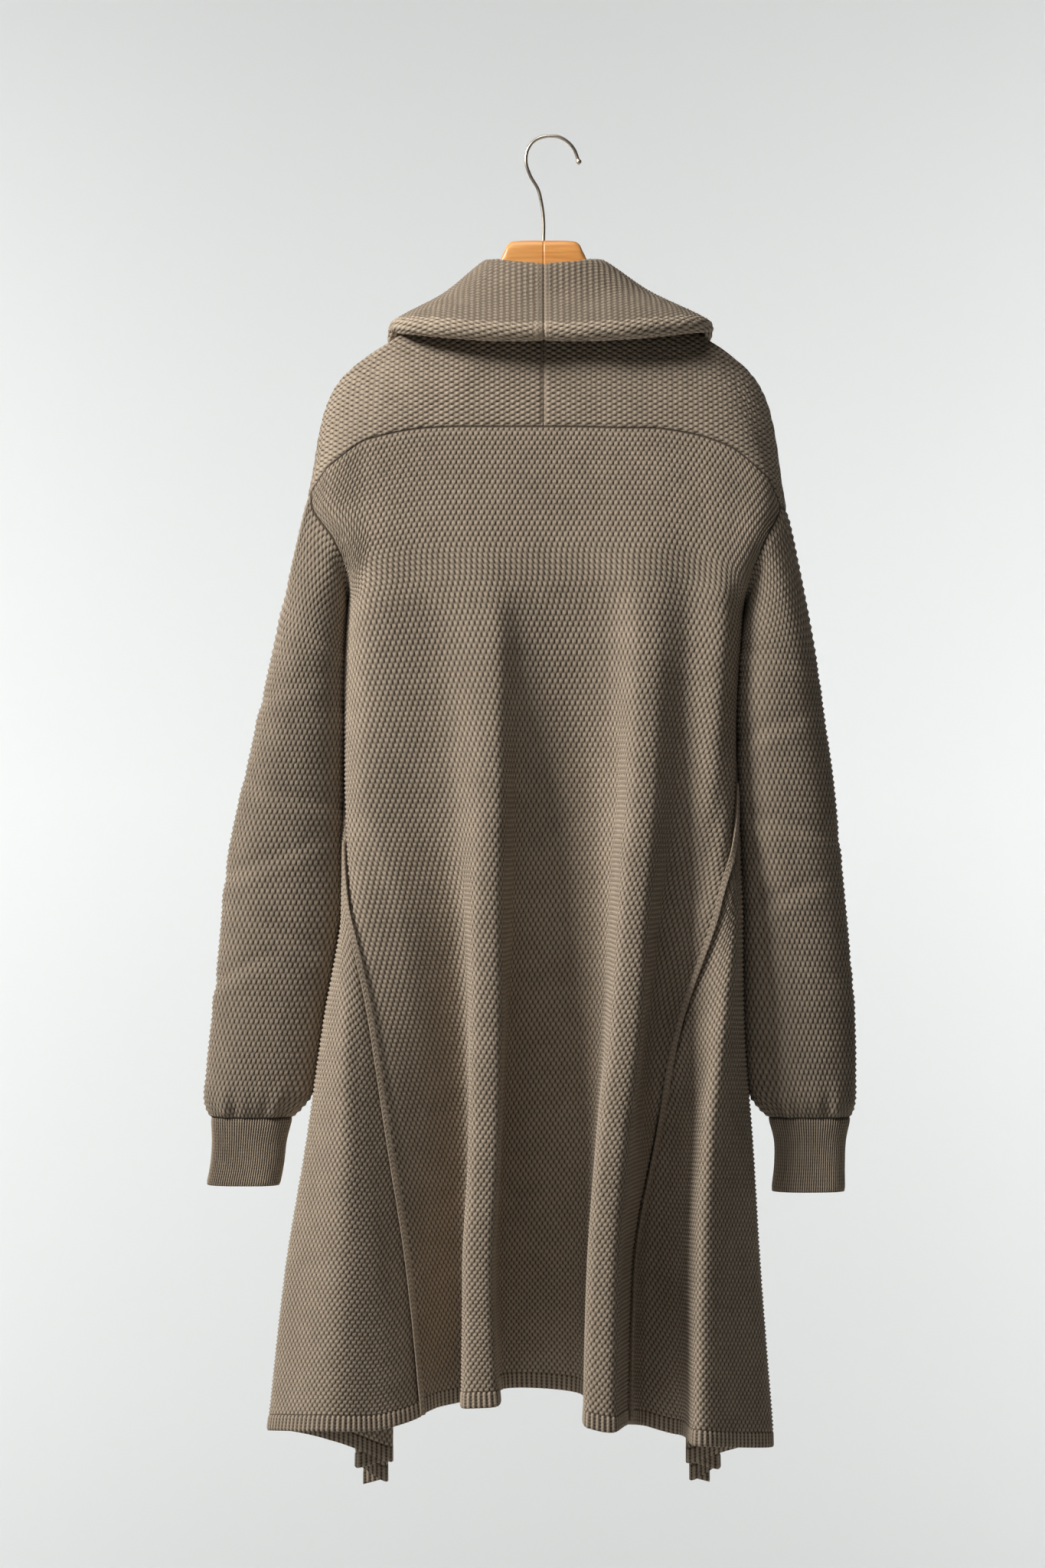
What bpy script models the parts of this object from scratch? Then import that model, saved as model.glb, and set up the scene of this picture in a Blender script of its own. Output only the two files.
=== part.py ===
"""Open-front cardigan with a turned-out shawl collar, hung on a wooden hanger.

Metres, +Z up. The origin is the underside of the hook's arc, where a rail carries it.
-Y is the garment's back, +X its right-hand side. Tables are in millimetres.
"""
import math

import bmesh
import bpy
import numpy as np

MM = 0.001
ARC_TOP = (6.2, 0.0, 0.0)  # underside of the hook's arc, the frame's origin, from the hook's stem
WALL = 3.0                 # knitted wall thickness
GAP = 0.3                  # clear space between sewn pieces
SIDE_GAP = 1.4             # clear space along a side seam
YOKE_GAP = 1.0             # clear space at the yoke's curved lower seam
EDGE_GAP = 0.5             # how far a front stops short of its edge curve
COLLAR_GAP = 1.6           # clear space at the collar's base
BAND_GAP = 0.5             # clear space above the hem bands
MITRE_GAP = 1.0            # clear space where two walls meet at an angle
UNDERARM_Z = -380.0        # height of both underarm points
ARM_ROWS = 6               # mesh rows from the yoke seam to the underarm
BODY_STEPS = (0.045, 0.095, 0.15, 0.205, 0.25, 0.295, 0.345, 0.43, 0.55, 0.69, 0.84, 1.0)
HEM_BAND = 12.5            # height of the ribbed hem band
HEM_RIB_PITCH = 4.1        # one rib of the hem band
HEM_RIB_RISE = 0.8         # how far a hem rib stands proud
CUFF_RIB_RISE = 0.6        # how far a cuff rib stands proud
SEAM_WIDTH = 5.0           # selvedge strip over a side seam
SEAM_THICK = 1.8
SEAM_LIFT = 1.0            # clear space under the strip
SEAM_TOP = {"left": -668.0, "right": -575.0}
TURN_RADIUS = ((-1024, 4.6), (-898, 4.0), (-801, 3.2), (-705, 2.0), (-609, 0.8), (-512, 0.3))
TURN_SPREAD = 1.5          # half width of a turn where it is still flat
WIRE_RADIUS = 1.4          # hanger hook wire
HOOK_BALL_RADIUS = 2.3     # ball on the hook's tip
HOOK_SOCKET_RADIUS = 1.8
HOOK_SOCKET_DEPTH = 12.0
WOOD_TOP_Z = -82.0         # top of the hanger's neck block
ARM_HALF_THICK = 6.0       # half thickness of the wooden arms
JOINT_GROOVE = 0.5         # depth of the groove between the hanger's halves

# Back panel in plan: one row per height, one (x, y) pair per fold line.
BACK_COLUMNS = ("side_left", "edge_left", "flank_left", "valley_1", "pipe_a_left", "pipe_a_right",
                "recess_left", "recess_right", "pipe_b_left", "pipe_b_right",
                "valley_3", "flank_right", "edge_right", "side_right")
BACK = (
    (-236, -184, -22, -169, -30, -139, -35, -90, -37, -62, -37, -47, -37, -23, -37,
     18, -37, 66, -37, 81, -37, 114, -36, 147, -34, 172, -30, 187, -22),
    (-293, -183, -26, -172, -33, -142, -37, -90, -38, -62, -38, -47, -38, -23, -38,
     18, -38, 71, -40, 84, -40, 114, -38, 150, -36, 177, -31, 187, -22),
    (-323, -165, -33, -155, -37, -137, -39, -90, -39, -62, -39, -47, -39, -23, -38,
     18, -38, 72, -42, 84, -42, 114, -39, 144, -38, 165, -36, 174, -32),
    (-354, -154, -20, -150, -32, -140, -39, -90, -39, -62, -40, -47, -40, -22, -37,
     40, -37, 74, -43, 86, -43, 114, -38, 144, -39, 157, -34, 162, -22),
    (-380, -152, 2, -154, -16, -145, -36, -80, -38, -50, -41, -38, -41, -21, -35,
     52, -35, 73, -44, 86, -44, 113, -37, 144, -38, 156, -18, 156, 2),
    (-440, -154, 2, -157, -14, -147, -33, -74, -37, -48, -44, -36, -44, -20, -31,
     54, -30, 72, -48, 85, -48, 111, -35, 140, -37, 152, -18, 151, -2),
    (-512, -157, -3, -156, -18, -147, -34, -70, -36, -48, -48, -36, -48, -21, -25,
     57, -24, 71, -54, 84, -54, 107, -33, 136, -38, 148, -30, 151, -19),
    (-561, -156, -18, -152, -28, -134, -35, -67, -34, -50, -51, -37, -51, -22, -22,
     53, -21, 67, -57, 81, -57, 103, -30, 128, -35, 141, -36, 148, -31),
    (-609, -153, -32, -145, -36, -119, -35, -64, -27, -52, -54, -38, -54, -23, -19,
     50, -17, 63, -61, 77, -61, 98, -26, 117, -31, 129, -38, 138, -40),
    (-705, -136, -38, -125, -36, -106, -30, -62, -14, -52, -59, -37, -59, -28, -12,
     44, -10, 56, -67, 71, -67, 82, -26, 92, -18, 100, -19, 109, -27),
    (-801, -122, -34, -114, -31, -97, -22, -62, -4, -54, -63, -39, -63, -32, -6,
     37, -4, 45, -73, 60, -73, 70, -48, 76, -32, 82, -21, 87, -14),
    (-898, -108, -29, -101, -25, -90, -15, -66, 2, -59, -67, -44, -67, -34, -3,
     30, 0, 38, -78, 54, -78, 60, -58, 64, -46, 67, -36, 69, -28),
    (-1024, -97, -26, -93, -19, -84, -7, -66, 5, -59, -72, -39, -72, -29, -2,
     26, 2, 35, -84, 53, -84, 58, -72, 61, -62, 63, -52, 65, -42),
)
BACK_TOP = (-285, -266, -244, -235, -234, -234, -234, -234, -235, -235, -239, -250, -273, -296)
BACK_HEM = (-1014, -1012, -1010, -1008, -999, -998, -996, -1000, -1012, -1015, -1015, -1015,
            -1016, -1017)

# Front panels in plan, from the side seam round the side to the free front edge. Each row is
# its height and then x, y of: seam, beside_seam, before_ridge, ridge, after_ridge, side_edge,
# behind_edge, plane, turn_1, turn_2, turn_3, free_edge.
# The three turns of the hanging front edge are each drawn as a pair of points.
FRONT_LEFT = (
    (-236, -184, 20, -176, 23, -168, 25, -158, 26, -148, 27, -138, 28, -125, 28, -110, 28,
     -99, 28, -91, 28, -83, 28, -74, 27),
    (-293, -183, 25, -176, 28, -168, 29, -158, 29, -148, 29, -138, 29, -125, 29, -110, 29,
     -99, 29, -91, 29, -83, 29, -75, 28),
    (-323, -165, 32, -161, 32, -156, 32, -150, 32, -143, 31, -135, 31, -123, 30, -110, 30,
     -99, 30, -91, 30, -84, 30, -76, 29),
    (-354, -154, 20, -153, 25, -150, 28, -146, 30, -141, 31, -134, 31, -123, 31, -110, 31,
     -100, 31, -92, 31, -85, 30, -77, 29),
    (-380, -152, 2, -153, 8, -152, 14, -150, 20, -146, 25, -138, 29, -124, 31, -110, 32,
     -101, 32, -92, 32, -86, 31, -78, 30),
    (-440, -154, 2, -155, 7, -154, 12, -153, 17, -149, 22, -141, 27, -127, 31, -112, 33,
     -102, 34, -94, 34, -87, 33, -80, 31),
    (-512, -157, -3, -158, 1, -158, 5, -157, 9, -156, 13, -153, 17, -143, 25, -124, 31,
     -107, 36, -102, 37, -93, 38, -83, 35),
    (-561, -156, -18, -158, -14, -159, -10, -159, -5, -159, 1, -157, 7, -149, 20,
     -129, 30, -110, 36, -103, 38, -93, 40, -85, 39),
    (-609, -153, -32, -155, -30, -157, -26, -159, -20, -159, -13, -159, -5, -152, 14,
     -132, 28, -113, 36, -104, 40, -94, 43, -86, 42),
    (-705, -136, -38, -142, -41, -148, -43, -155, -44, -166, -33, -174, -12, -164, 15,
     -138, 30, -112, 37, -111, 45, -99, 48, -97, 55),
    (-801, -122, -34, -130, -38, -142, -44, -155, -48, -175, -34, -188, -10, -176, 16,
     -150, 30, -116, 40, -125, 49, -110, 55, -113, 63),
    (-898, -108, -29, -119, -36, -137, -46, -158, -51, -186, -34, -204, -9, -190, 17,
     -160, 31, -119, 42, -138, 51, -118, 59, -129, 67),
    (-1024, -97, -26, -113, -38, -133, -46, -166, -54, -199, -37, -218, -9, -204, 19,
     -172, 32, -123, 44, -151, 54, -128, 63, -147, 72),
)
FRONT_LEFT_TOP = (-285, -272, -262, -254, -249, -245, -240, -237, -235, -234, -233, -233)
FRONT_LEFT_HEM = (-1014, -1018, -1021, -1020, -1023, -1028, -1034, -1044, -1063, -1070,
                  -1083, -1088)
FRONT_RIGHT = (
    (-236, 187, 20, 179, 23, 171, 25, 160, 26, 150, 27, 140, 28, 126, 28, 111, 28,
     99, 28, 91, 28, 83, 28, 74, 27),
    (-293, 187, 22, 179, 27, 170, 29, 160, 29, 150, 29, 140, 29, 126, 29, 111, 29,
     99, 29, 91, 29, 83, 29, 75, 28),
    (-323, 174, 32, 168, 32, 162, 32, 154, 32, 146, 31, 138, 31, 125, 30, 111, 30,
     99, 30, 91, 30, 84, 30, 76, 29),
    (-354, 162, 22, 160, 26, 156, 29, 151, 31, 145, 31, 137, 31, 125, 31, 111, 31,
     100, 31, 92, 31, 85, 30, 77, 29),
    (-380, 156, 2, 157, 8, 156, 14, 154, 20, 149, 25, 141, 29, 126, 31, 111, 32,
     101, 32, 92, 32, 86, 31, 78, 30),
    (-440, 151, -2, 152, 3, 152, 8, 151, 13, 148, 18, 142, 24, 130, 29, 112, 33,
     102, 34, 94, 34, 87, 33, 80, 31),
    (-512, 151, -19, 152, -14, 153, -8, 153, -2, 152, 5, 149, 13, 139, 24, 118, 31,
     105, 36, 100, 37, 92, 38, 83, 35),
    (-561, 148, -31, 150, -29, 152, -26, 154, -20, 155, -10, 154, 0, 147, 17,
     124, 29, 108, 36, 102, 38, 92, 40, 84, 39),
    (-609, 138, -40, 142, -41, 146, -41, 150, -38, 155, -28, 156, -12, 151, 13,
     128, 28, 111, 36, 103, 40, 93, 43, 86, 42),
    (-705, 109, -27, 117, -32, 129, -43, 139, -49, 151, -34, 158, -12, 154, 14,
     132, 30, 110, 37, 109, 45, 98, 48, 96, 55),
    (-801, 87, -14, 97, -10, 112, -22, 129, -54, 150, -34, 165, -10, 160, 16,
     138, 30, 112, 40, 121, 49, 107, 55, 110, 63),
    (-898, 69, -28, 84, -6, 106, -18, 124, -57, 151, -36, 171, -9, 166, 17,
     144, 31, 114, 42, 131, 51, 113, 59, 123, 67),
    (-1024, 65, -42, 82, -2, 106, -10, 121, -62, 153, -42, 181, -9, 174, 18,
     150, 32, 117, 44, 142, 54, 121, 63, 136, 72),
)
FRONT_RIGHT_TOP = (-296, -281, -268, -257, -251, -246, -240, -237, -235, -234, -233, -233)
FRONT_RIGHT_HEM = (-1017, -1026, -1031, -1030, -1035, -1041, -1044, -1052, -1064, -1071,
                   -1082, -1086)

# Neckline from the centre back over the shoulder to the top of the front edge (left side).
NECK = (
    (0, -20.5, -151), (-18, -19.5, -149), (-34, -16, -139.5), (-45, -8.5, -123.5),
    (-48.5, 0, -116.5), (-50, 6, -122), (-53, 11, -136), (-60, 18, -165), (-68, 24, -205),
    (-74, 27, -232),
)
YOKE_ROWS = 6
YOKE_BACK_COLUMNS = {"left": (2.5, 2, 1.5, 1, 0.5), "right": (10.5, 11, 11.5, 12, 12.5)}
MATCHED = 0.02                                            # columns closer than this are one
YOKE_FRONT_COLUMNS = (1, 2, 3, 4, 5, 6, 7)                # panel columns met by yoke columns
FOLD_RADIUS = 2.9                                         # half the width of the collar's fold
COLLAR_ROWS = (0, 0.55, 1, 1.5, 2, 2.5, 3, 3.5, 4)
CURL_ROWS = 5
COLLAR_LOWER = (9, 10, 11, 12, 13)
BACK_SPANS = (2, 2, 2, 2, 2, 2, 2, 3, 2, 3, 2, 2, 2)      # mesh columns between fold lines
FRONT_SPANS = (1, 1, 1, 2, 2, 2, 1, 2, 2, 1, 2, 1, 2, 1)
FRONT_EDGE = 14.0                         # column position of the free front edge
FRONT_EDGE_Z = (-293, -370, -450, -530)   # the collar follows the front edge through these

# Yoke stations from the centre back to the front edge (left side): place on the neckline,
# column of the back panel (>= 0) or front panel (< 0) met at the lower seam, two points between.
YOKE_LEFT = (
    (0.0, 6.56, 0, -27, -175, 0, -33, -203),
    (1.0, 4.8, -28, -27, -174, -39, -33, -203),
    (2.0, 3.0, -53, -25, -168, -73, -33, -202),
    (2.8, 2.1, -74, -17, -153, -107, -28, -196),
    (3.4, 1.2, -88, -10, -147, -140, -19, -196),
    (3.8, 0.0, -96, -5, -147, -156, -11, -199),
    (4.0, None, -98, 0, -149, -162, 0, -195),
    (4.3, -0.0001, -96, 5, -150, -156, 11, -199),
    (5.0, -2.6, -88, 10, -152, -138, 20, -200),
    (6.0, -5.6, -78, 17, -164, -108, 25, -200),
    (7.0, -8.6, -74, 22, -186, -87, 26, -208),
    (8.4, -14.0, -71.5, 25.8, -221.5, -72.5, 26.5, -227),
)
YOKE_RIGHT = (
    (0.0, 6.56, 0, -27, -175, 0, -33, -203),
    (1.0, 8.2, 28, -27, -173, 39, -33, -202),
    (2.0, 10.0, 55, -25, -166, 77, -33, -201),
    (2.8, 11.0, 78, -17, -150, 113, -28, -192),
    (3.4, 12.0, 92, -10, -143, 144, -19, -191),
    (3.8, 13.0, 100, -5, -144, 160, -11, -194),
    (4.0, None, 102, 0, -146, 166, 0, -191),
    (4.3, -0.0001, 100, 5, -147, 160, 11, -194),
    (5.0, -2.6, 90, 10, -150, 142, 20, -198),
    (6.0, -5.6, 80, 17, -163, 110, 25, -200),
    (7.0, -8.6, 74, 22, -186, 88, 26, -208),
    (8.4, -14.0, 71.5, 25.8, -221.5, 72.5, 26.5, -227),
)
SHOULDER_END = {"left": (-187, 0, -288), "right": (193, 0, -298)}

# Collar stations along the neckline and front edge (left side): fold, middle of the fall,
# centre of the rolled edge, its radius and how far round it curls.
COLLAR_LEFT = (
    (0, -17, -105, 0, -33, -132, 0, -47, -160, 7.0, 250),
    (-20, -15.5, -103, -32, -32, -131, -42, -48, -160, 7.0, 250),
    (-34, -11, -101, -58, -26, -129, -82, -43, -157, 6.5, 240),
    (-41.5, -5, -101, -74, -15, -127, -110, -28, -154, 5.0, 215),
    (-42, 1, -101.5, -80, 0, -125.5, -118, -2, -152, 4.0, 190),
    (-43, 8, -106, -82, 14, -132, -120, 23, -162, 4.0, 180),
    (-44, 14, -122, -84, 24, -150, -118, 32, -182, 4.0, 180),
    (-49, 20, -155, -86, 31, -176, -116, 38, -202, 4.0, 180),
    (-55, 27, -200, -87, 36, -209, -115, 41, -226, 4.0, 180),
    (-60, 31, -234, -87, 38, -240, -112, 42, -252, 4.0, 180),
    (-63, 33, -293, -86, 39, -296, -106, 42, -302, 4.0, 180),
    (-68, 35.5, -370, -87, 41, -372, -100, 43, -376, 3.5, 180),
    (-72, 38, -450, -86, 43.5, -452, -95, 45, -454, 3.5, 150),
    (-76, 41, -530, -84, 46, -531, -89, 48, -532, 3.0, 120),
)
COLLAR_RIGHT = (
    (0, -17, -105, 0, -33, -132, 0, -47, -160, 7.0, 250),
    (20, -15.5, -103, 32, -32, -130, 42, -48, -160, 7.0, 250),
    (34, -11, -101, 60, -26, -127, 86, -43, -157, 6.5, 240),
    (41.5, -5, -101, 78, -15, -125, 120, -28, -153, 5.0, 215),
    (42, 1, -101, 84, 0, -123.5, 130, -2, -152, 4.0, 190),
    (43, 8, -105, 85, 14, -130, 128, 23, -161, 4.0, 180),
    (44, 14, -122, 86, 24, -150, 124, 32, -182, 4.0, 180),
    (49, 20, -155, 87, 31, -176, 120, 38, -202, 4.0, 180),
    (55, 27, -200, 88, 36, -209, 117, 41, -226, 4.0, 180),
    (60, 31, -234, 88, 38, -240, 113, 42, -252, 4.0, 180),
    (63, 33, -293, 86, 39, -296, 106, 42, -302, 4.0, 180),
    (68, 35.5, -370, 87, 41, -372, 100, 43, -376, 3.5, 180),
    (72, 38, -450, 86, 43.5, -452, 95, 45, -454, 3.5, 150),
    (76, 41, -530, 84, 46, -531, 89, 48, -532, 3.0, 120),
)

# Sleeve and cuff sections: height, outer x, inner x, back y, front y.
SLEEVE_LEFT = (
    (-415, -216, -161, -34, 34), (-464, -227, -162, -31, 34), (-512, -238, -163, -28, 33),
    (-573, -251, -164, -25, 32), (-634, -257, -167, -22, 30), (-695, -263, -177, -20, 28),
    (-744, -268, -186, -19, 26), (-769, -269, -195, -17, 24), (-780, -265, -201, -13, 19),
)
SLEEVE_RIGHT = (
    (-415, 216, 161, -34, 34), (-464, 223, 157, -31, 34), (-512, 230, 157, -28, 33),
    (-573, 236, 159, -25, 32), (-634, 242, 162, -22, 30), (-695, 247, 163, -20, 28),
    (-744, 248, 168, -19, 26), (-769, 247, 174, -17, 24), (-780, 244, 180, -13, 19),
)
CUFF_LEFT = (
    (-780.5, -264, -201.5, -12.5, 18.5), (-799, -263, -206, -11, 16), (-817, -264, -208, -11, 15),
    (-834, -267, -211, -12, 16),
)
CUFF_RIGHT = (
    (-780.5, 243.5, 180.5, -12.5, 18.5), (-799, 239.5, 185, -11, 16), (-817, 238.5, 185, -11, 15),
    (-839, 238.5, 182.5, -12, 16),
)
SLEEVE_SQUARENESS = 2.4    # exponent of the flattened sleeve section
LEAD_OUT = (3.0, 6.0)      # how far a sleeve first leads outward, at its top and added below
LEAD_DOWN = (-12.0, 9.0)   # and downward
SLEEVE_ROWS = (0, 0.5, 1, 1.4, 2, 3, 4, 5, 6, 7, 8, 9, 9.6, 10)
CUFF_WALL = 2.4
CUFF_COLUMNS = 64
INNER_EVERY = 4            # a ribbed wall's plain inside has one column for so many outside
REACH = 2.5                # a curve's tangent is at most this many of its shorter neighbour span

# Hanger wood: distance from the centre, top and bottom height.
WOOD = (
    (0.3, -82.0, -122), (1.0, -82.0, -122), (14, -82.0, -122.5), (24, -82.6, -124),
    (28.5, -85, -126), (31, -90, -128), (35.5, -101, -133), (37, -112, -136), (39, -121, -139),
    (46, -127, -145), (60, -134, -153), (98, -157, -175), (130, -179, -196), (150, -194, -209),
    (157, -201, -213), (161, -205, -211),
)
WOOD_RING = 12             # points round a section of the board
WOOD_ROUNDING = 0.6        # exponent that rounds the board's edges
WOOD_TIP_FROM = 156.0      # beyond this the board thins
TIP_THINNING = 2.0
HOOK_STEPS = 34
HOOK_RING = 8
HOOK_BALL_STEPS = (-50, -15, 20, 50, 75)
# Hook wire: centre line in the hanger's plane.
HOOK = (
    (0, -93.5), (0, -82), (0, -66), (-1.5, -53), (-4.5, -41), (-10.5, -30.5), (-14, -19),
    (-12.4, -9), (-6.5, -1.8), (2, 1.2), (6.2, 1.4), (12, 0.7), (19, -3.2), (24.5, -9.6),
    (27.3, -17),
)


def monotone_rows(knots, values, at):
    """Each column of values drawn smoothly through its knots, without overshoot."""
    knots = np.asarray(knots, float)
    values = np.asarray(values, float)
    at = np.clip(np.asarray(at, float), knots[0], knots[-1])
    step = np.diff(knots)[:, None]
    slope = np.diff(values, axis=0) / step
    left, right = slope[:-1], slope[1:]
    same = (left * right) > 0
    w1 = 2 * step[1:] + step[:-1]
    w2 = step[1:] + 2 * step[:-1]
    safe_left = np.where(same, left, 1.0)
    safe_right = np.where(same, right, 1.0)
    inner = np.where(same, (w1 + w2) / (w1 / safe_left + w2 / safe_right), 0.0)
    tangent = np.vstack([slope[:1], inner, slope[-1:]])
    i = np.clip(np.searchsorted(knots, at, side="right") - 1, 0, len(knots) - 2)
    h = step[i]
    t = ((at - knots[i])[:, None]) / h
    a = (1 + 2 * t) * (1 - t) ** 2 * values[i] + t * (1 - t) ** 2 * h * tangent[i]
    b = t * t * (3 - 2 * t) * values[i + 1] + t * t * (t - 1) * h * tangent[i + 1]
    return a + b


def through(points, u, before=None, after=None):
    """Points on rounded curves: points is (n, columns, axes), u counts columns, one per n."""
    chord = np.linalg.norm(np.diff(points, axis=1), axis=2)[..., None] + 1e-6
    slope = np.diff(points, axis=1) / chord
    first, last = slope[:, :1], slope[:, -1:]
    if before is not None:
        reach = np.linalg.norm(points[:, :1] - before[:, None], axis=2)[..., None] + 1e-6
        out = (points[:, :1] - before[:, None]) / reach
        first = (first * reach + out * chord[:, :1]) / (reach + chord[:, :1])
    if after is not None:
        reach = np.linalg.norm(after[:, None] - points[:, -1:], axis=2)[..., None] + 1e-6
        out = (after[:, None] - points[:, -1:]) / reach
        last = (last * reach + out * chord[:, -1:]) / (reach + chord[:, -1:])
    middle = (slope[:, 1:] * chord[:, :-1] + slope[:, :-1] * chord[:, 1:])
    middle = middle / (chord[:, :-1] + chord[:, 1:])
    tangent = np.concatenate([first, middle, last], axis=1)
    beside = np.minimum(chord[:, 1:], chord[:, :-1])
    reach = REACH * np.concatenate([chord[:, :1], beside, chord[:, -1:]], axis=1)
    i = np.clip(np.floor(u).astype(int), 0, points.shape[1] - 2)
    n = np.arange(len(u))
    t = (u - i)[:, None]
    start = np.minimum(chord[n, i], reach[n, i]) * tangent[n, i]
    end = np.minimum(chord[n, i], reach[n, i + 1]) * tangent[n, i + 1]
    a = (1 + 2 * t) * (1 - t) ** 2 * points[n, i] + t * (1 - t) ** 2 * start
    b = t * t * (3 - 2 * t) * points[n, i + 1] + t * t * (t - 1) * end
    return a + b


def one_curve(points, u):
    """Points at u on a single rounded curve through the given points."""
    points = np.asarray(points, float)
    u = np.atleast_1d(np.asarray(u, float))
    return through(np.repeat(points[None], len(u), axis=0), u)


def plan(table, z):
    """Control points in plan at each height z: (n, columns, 2)."""
    rows = np.array(table, float)[::-1]
    values = monotone_rows(rows[:, 0], rows[:, 1:], z)
    return values.reshape(len(values), -1, 2)


def paired(values):
    """Per-column values of a front, with each turn column given twice."""
    return [values[c] for c in (0, 1, 2, 3, 4, 5, 6, 7, 8, 8, 9, 9, 10, 10, 11)]


FRONTS = {"left": (FRONT_LEFT, paired(FRONT_LEFT_TOP), paired(FRONT_LEFT_HEM)),
          "right": (FRONT_RIGHT, paired(FRONT_RIGHT_TOP), paired(FRONT_RIGHT_HEM))}


def front_plan(side, z):
    """Control points of a front in plan, with each turn drawn as a pair of points."""
    here = plan(FRONTS[side][0], z)
    sewn_edge = plan(BACK, z)[:, 0 if side == "left" else -1]
    here[:, 0] = np.where((z < UNDERARM_Z)[:, None], sewn_edge, here[:, 0])
    rows = np.array(TURN_RADIUS, float)
    radius = monotone_rows(rows[:, 0], rows[:, 1:], z)[:, 0]
    flat = TURN_SPREAD * (1 - radius / rows[:, 1].max()) * SIGN[side]
    shift = np.stack([flat, radius], axis=1)
    columns = [here[:, c] for c in range(8)]
    for c in (8, 9, 10):
        columns.extend((here[:, c] - shift, here[:, c] + shift))
    columns.append(here[:, 11])
    return np.stack(columns, axis=1)


def column_value(values, u):
    """A per-column value drawn smoothly between columns."""
    values = np.asarray(values, float)[:, None]
    return monotone_rows(np.arange(len(values)), values, u)[:, 0]


YOKES = {"left": YOKE_LEFT, "right": YOKE_RIGHT}
COLLARS = {"left": COLLAR_LEFT, "right": COLLAR_RIGHT}
SLEEVES = {"left": SLEEVE_LEFT, "right": SLEEVE_RIGHT}
CUFFS = {"left": CUFF_LEFT, "right": CUFF_RIGHT}
SIGN = {"left": 1.0, "right": -1.0}


def back_point(u, z):
    """Back panel surface at column position u and height z."""
    here = plan(BACK, z)
    sewn = (z < UNDERARM_Z)[:, None]
    left_next = front_plan("left", z)[:, 1]
    right_next = front_plan("right", z)[:, 1]
    before = np.where(sewn, left_next, 2 * here[:, 0] - here[:, 1])
    after = np.where(sewn, right_next, 2 * here[:, -1] - here[:, -2])
    xy = through(here, u, before, after)
    return np.column_stack([xy, z])


def front_point(side, u, z):
    """Front panel surface, column 0 at the side seam."""
    here = front_plan(side, z)
    sewn = (z < UNDERARM_Z)[:, None]
    back = plan(BACK, z)
    neighbour = back[:, 1] if side == "left" else back[:, -2]
    before = np.where(sewn, neighbour, 2 * here[:, 0] - here[:, 1])
    xy = through(here, u, before)
    return np.column_stack([xy, z])


def panel_heights(top, hem):
    """Heights of every mesh row: yoke seam to underarm, then underarm to hem band."""
    upper = np.linspace(0, 1, ARM_ROWS + 1)[:, None]
    lower = np.array(BODY_STEPS)[:, None]
    first = top + (UNDERARM_Z - top) * upper
    second = UNDERARM_Z + (hem + HEM_BAND - UNDERARM_Z) * lower
    return np.vstack([first, second])


def panel_grid(point, u, top, hem):
    """Grid of mid-surface points, rows downward, columns along u."""
    z = panel_heights(column_value(top, u), column_value(hem, u))
    flat_u = np.tile(u, len(z))
    return point(flat_u, z.ravel()).reshape(len(z), len(u), 3)


def even_columns(point, hem, count_of, pitch):
    """Column positions spaced evenly along the hem, pitch apart."""
    u = np.linspace(0, count_of - 1, 1200)
    line = point(u, column_value(hem, u))
    run = np.concatenate([[0], np.cumsum(np.linalg.norm(np.diff(line, axis=0), axis=1))])
    steps = 2 * INNER_EVERY * int(round(run[-1] / pitch / INNER_EVERY))
    return np.interp(np.linspace(0, run[-1], steps + 1), run, u)


def band_grid(point, u, hem):
    """Grid of the ribbed band below a panel."""
    low = column_value(hem, u)
    z = np.vstack([low + HEM_BAND, low])
    flat_u = np.tile(u, len(z))
    return point(flat_u, z.ravel()).reshape(len(z), len(u), 3)


def subdivided(spans):
    """Column positions with a number of mesh columns in each table span."""
    u = [0.0]
    for index, count in enumerate(spans):
        u.extend(index + (k + 1) / count for k in range(count))
    return np.array(u)


def unit(vectors):
    return vectors / (np.linalg.norm(vectors, axis=-1, keepdims=True) + 1e-12)


def normals(grid, closed=False):
    """Surface normals of a grid, pointing along rows x columns."""
    if closed:
        wrapped = np.concatenate([grid[:, -1:], grid, grid[:, :1]], axis=1)
        du = (wrapped[:, 2:] - wrapped[:, :-2])
    else:
        du = np.gradient(grid, axis=1)
    dv = np.gradient(grid, axis=0)
    return unit(np.cross(du, dv))


def facing(normal, row, column, toward):
    """Normals turned so that the one at (row, column) looks toward the given direction."""
    if np.dot(normal[row, column], toward) < 0:
        return -normal
    return normal


def flat_end(normal):
    """Normals turned into the plane x = 0, for two halves that meet there."""
    return unit(normal * np.array((0.0, 1.0, 1.0)))


def pull(grid, edge, amount):
    """Grid with one edge drawn in along the surface by amount."""
    grid = grid.copy()
    if edge == "top":
        grid[0] += unit(grid[1] - grid[0]) * amount
    elif edge == "bottom":
        grid[-1] += unit(grid[-2] - grid[-1]) * amount
    elif edge == "first":
        grid[:, 0] += unit(grid[:, 1] - grid[:, 0]) * amount
    else:
        grid[:, -1] += unit(grid[:, -2] - grid[:, -1]) * amount
    return grid


def material(name, colour, roughness, metallic=0.0):
    made = bpy.data.materials.new(name)
    made.use_nodes = True
    shader = made.node_tree.nodes["Principled BSDF"]
    shader.inputs["Base Color"].default_value = (*colour, 1.0)
    shader.inputs["Roughness"].default_value = roughness
    shader.inputs["Metallic"].default_value = metallic
    made.diffuse_color = (*colour, 1.0)
    return made


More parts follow.
